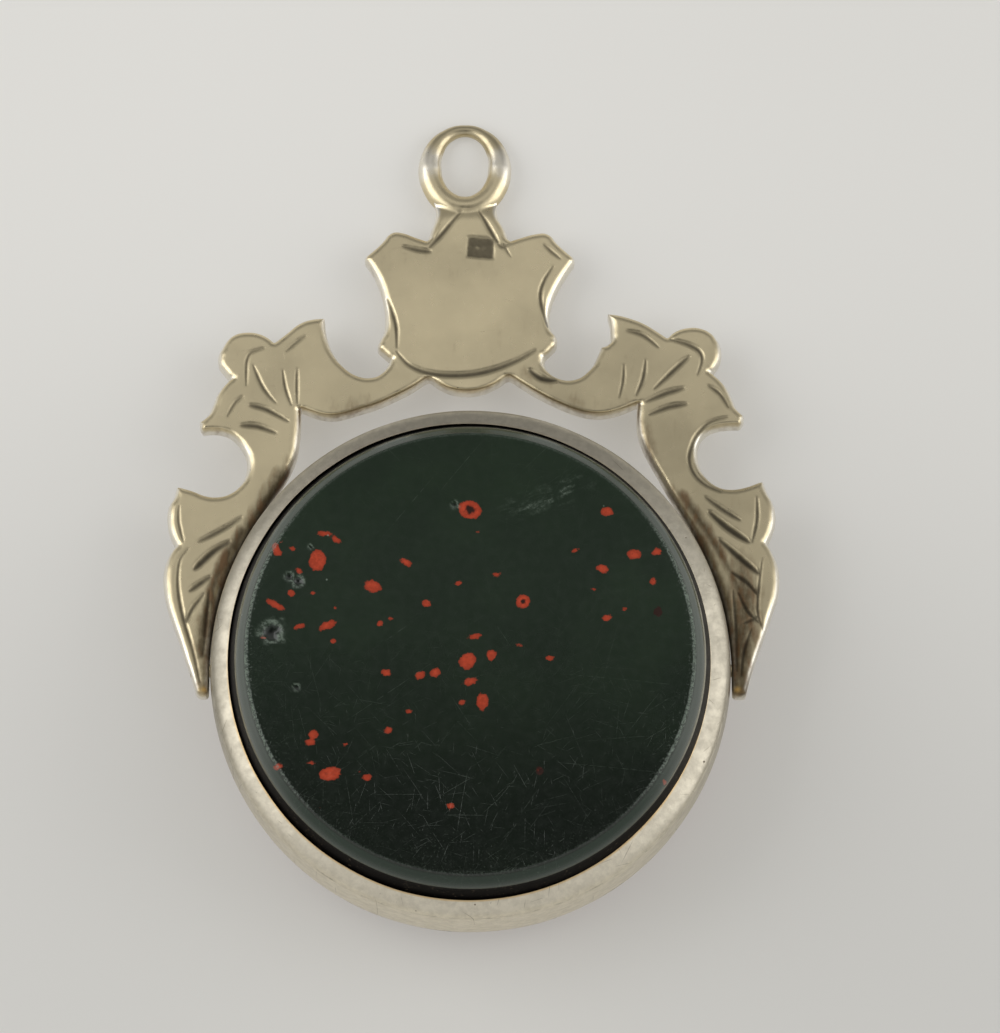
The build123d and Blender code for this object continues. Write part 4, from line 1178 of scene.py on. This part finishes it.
class FOB_OT_stones(bpy.types.Operator):
    """Grind the two tablets, with the spots and pits of the upper one"""
    bl_idname = "fob.stones"
    bl_label = "Stone tablets"

    def execute(self, context):
        stones, colours = context.scene.fob_stones, context.scene.fob_colours
        bm = tablet(stones, stones.cell)
        layers = mesh_layers(bm, "spot", "core", "pit")
        for vert in bm.verts:
            point = vert.co / MM
            vert[layers["spot"]], vert[layers["core"]] = spot_field(point)
            if vert.co.z < AXIS_HEIGHT - 1e-7:
                continue
            for x, y, radius, depth in STONE_PITS:
                ragged = 1 + 0.45 * noise.noise(point * 4)
                share = math.hypot(point.x - x, point.y - y) / (radius * ragged)
                if share < 1.8:
                    vert.co.z -= depth * max(0.0, 1 - share ** 2) * MM
                    # powder round the pit, more of it on the right, and a dark hole in its middle
                    side = 0.55 + 0.45 * noise.noise(Vector((point.x * 3, point.y * 3, 8.0))) + 0.3 * (point.x > x)
                    powder = math.exp(-((share - 1.05) / 0.26) ** 2) * clipped(side)
                    hole = max(0.0, 1 - (share / 0.8) ** 2)
                    vert[layers["pit"]] = powder if powder > hole else -hole
        finish_drum_piece("bloodstone_tablet", bm, bloodstone_material("bloodstone_polished", colours, stones),
                          "front_stone")
        bm = tablet(stones, None)
        turn_over(bm)
        finish_drum_piece("carnelian_tablet", bm, carnelian_material("carnelian_polished", colours),
                          "back_stone")
        return {"FINISHED"}


class FOB_OT_fittings(bpy.types.Operator):
    """Give the pins, bushes, bearers and cement of the frame their materials"""
    bl_idname = "fob.fittings"
    bl_label = "Swivel and lining"

    def execute(self, context):
        colours = context.scene.fob_colours
        pins = pin_material("sterling_drawn", colours)
        inner = silver_material("sterling_inner", colours)
        finishes = {"left_pivot_pin": pins, "right_pivot_pin": pins, "left_pivot_bush": inner,
                    "right_pivot_bush": inner, "front_bearer": inner, "back_bearer": inner,
                    "cement_core": cement_material("cement_poured", colours)}
        for node, material in finishes.items():
            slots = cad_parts[node].data.materials
            slots.clear()
            slots.append(material)
        return {"FINISHED"}


def tent_world(name, stage):
    """A white tent round the table: bright walls left and right, a lamp side in front, a dim side behind the
    ring, a window high on the right and a dark opening overhead for the camera."""
    world = bpy.data.worlds.new(name)
    world.use_nodes = True
    tree = world.node_tree
    tree.nodes.clear()
    x, y, z = add(tree, "TexCoord", out="Generated").into("SeparateXYZ", out=(0, 1, 2))
    low = y.into("ease", -0.35, 0.40, 0.50, 0.26)
    walls = abs(x).into("ease", 0.45, 0.75, 0.0, 0.50)
    walls = walls * (y.into("ease", 0.60, 0.10, 0.35, 1.0) * y.into("ease", -0.50, -0.15))
    window = x.into("ease", 0.28, 0.48) * z.into("ease", 0.40, 0.60, 0.0, 0.40)
    window = window * (y.into("ease", -0.12, 0.12) * y.into("ease", 0.45, 0.25))
    tent = low + walls + window + z.into("ease", 0.55, 0.84) * (0.57 - low)
    off_middle = x.into("CombineXYZ", y + 0.05).into("VectorMath", out="Value", operation="LENGTH")
    opening = off_middle.into("ease", 0.58, 0.12) * z.into("ease", 0.60, 0.80)
    tent = tent * opening.into("ease", 0.0, 1.0, 1.0, 0.08)
    backdrop = tent.into("CombineColor", tent, tent).into("Background", stage.sky)
    add(tree, "OutputWorld", [backdrop], out=())
    return world


def softbox(name, place, size, power):
    """A soft rectangular lamp that faces the fob."""
    lamp = bpy.data.lights.new(name, "AREA")
    lamp.shape = "RECTANGLE"
    lamp.size, lamp.size_y = size
    lamp.energy = power
    holder = bpy.data.objects.new(name, lamp)
    bpy.context.scene.collection.objects.link(holder)
    holder.location = place
    holder.rotation_euler = (FOB_MIDDLE - holder.location).to_track_quat("-Z", "Y").to_euler()


class FOB_OT_stage(bpy.types.Operator):
    """Lay the pale floor, hang the soft lights and set up the camera"""
    bl_idname = "fob.stage"
    bl_label = "Floor, light and camera"

    def execute(self, context):
        scene, stage = context.scene, context.scene.fob_stage
        bm = bmesh.new()
        bmesh.ops.create_grid(bm, x_segments=8, y_segments=8, size=2.0)
        floor = new_mesh("floor", bm, floor_material("card_painted", stage))
        scene.world = tent_world("tent", stage)
        softbox("left_softbox", (-0.28, 0.06, 0.24), (0.30, 0.34), stage.left_light)
        softbox("right_softbox", (0.31, 0.02, 0.15), (0.28, 0.32), stage.right_light)
        lens = bpy.data.cameras.new("camera")
        lens.sensor_fit = "HORIZONTAL"
        lens.sensor_width = SENSOR
        lens.lens = FOCAL_LENGTH
        lens.clip_start, lens.clip_end = 0.01, 20
        camera = bpy.data.objects.new("camera", lens)
        scene.collection.objects.link(camera)
        away = Vector((0, -math.sin(CAMERA_LEAN), math.cos(CAMERA_LEAN)))
        camera.location = CAMERA_TARGET + CAMERA_DISTANCE * away
        camera.rotation_euler = (CAMERA_LEAN, 0, 0)
        scene.camera = camera
        scene.view_settings.view_transform = "Standard"
        return {"FINISHED"}


class VIEW3D_PT_fob(bpy.types.Panel):
    """Settings and builders of the fob"""
    bl_label = "Swivel watch fob"
    bl_space_type = "VIEW_3D"
    bl_region_type = "UI"
    bl_category = "Fob"

    def draw(self, context):
        layout = self.layout
        for operator, group in BUILDERS:
            box = layout.box()
            box.operator(operator.bl_idname)
            settings = getattr(context.scene, group, None)
            if settings:
                for name in settings.bl_rna.properties.keys():
                    if name not in ("rna_type", "name"):
                        box.prop(settings, name)


GROUPS = {"fob_yoke": FobYoke, "fob_ring": FobRing, "fob_drum": FobDrum, "fob_stones": FobStones,
          "fob_colours": FobColours, "fob_stage": FobStage}
BUILDERS = [(FOB_OT_yoke, "fob_yoke"), (FOB_OT_ring, "fob_ring"), (FOB_OT_drum, "fob_drum"),
            (FOB_OT_stones, "fob_stones"), (FOB_OT_fittings, "fob_colours"), (FOB_OT_stage, "fob_stage")]


def register():
    for group in GROUPS.values():
        bpy.utils.register_class(group)
    for operator, _ in BUILDERS:
        bpy.utils.register_class(operator)
    bpy.utils.register_class(VIEW3D_PT_fob)
    for name, group in GROUPS.items():
        setattr(bpy.types.Scene, name, PointerProperty(type=group))


def unregister():
    for name in GROUPS:
        delattr(bpy.types.Scene, name)
    bpy.utils.unregister_class(VIEW3D_PT_fob)
    for operator, _ in reversed(BUILDERS):
        bpy.utils.unregister_class(operator)
    for group in reversed(list(GROUPS.values())):
        bpy.utils.unregister_class(group)


def main():
    register()
    for operator in (bpy.ops.fob.yoke, bpy.ops.fob.ring, bpy.ops.fob.drum, bpy.ops.fob.stones,
                     bpy.ops.fob.fittings, bpy.ops.fob.stage):
        operator()


if __name__ == "__main__":
    main()
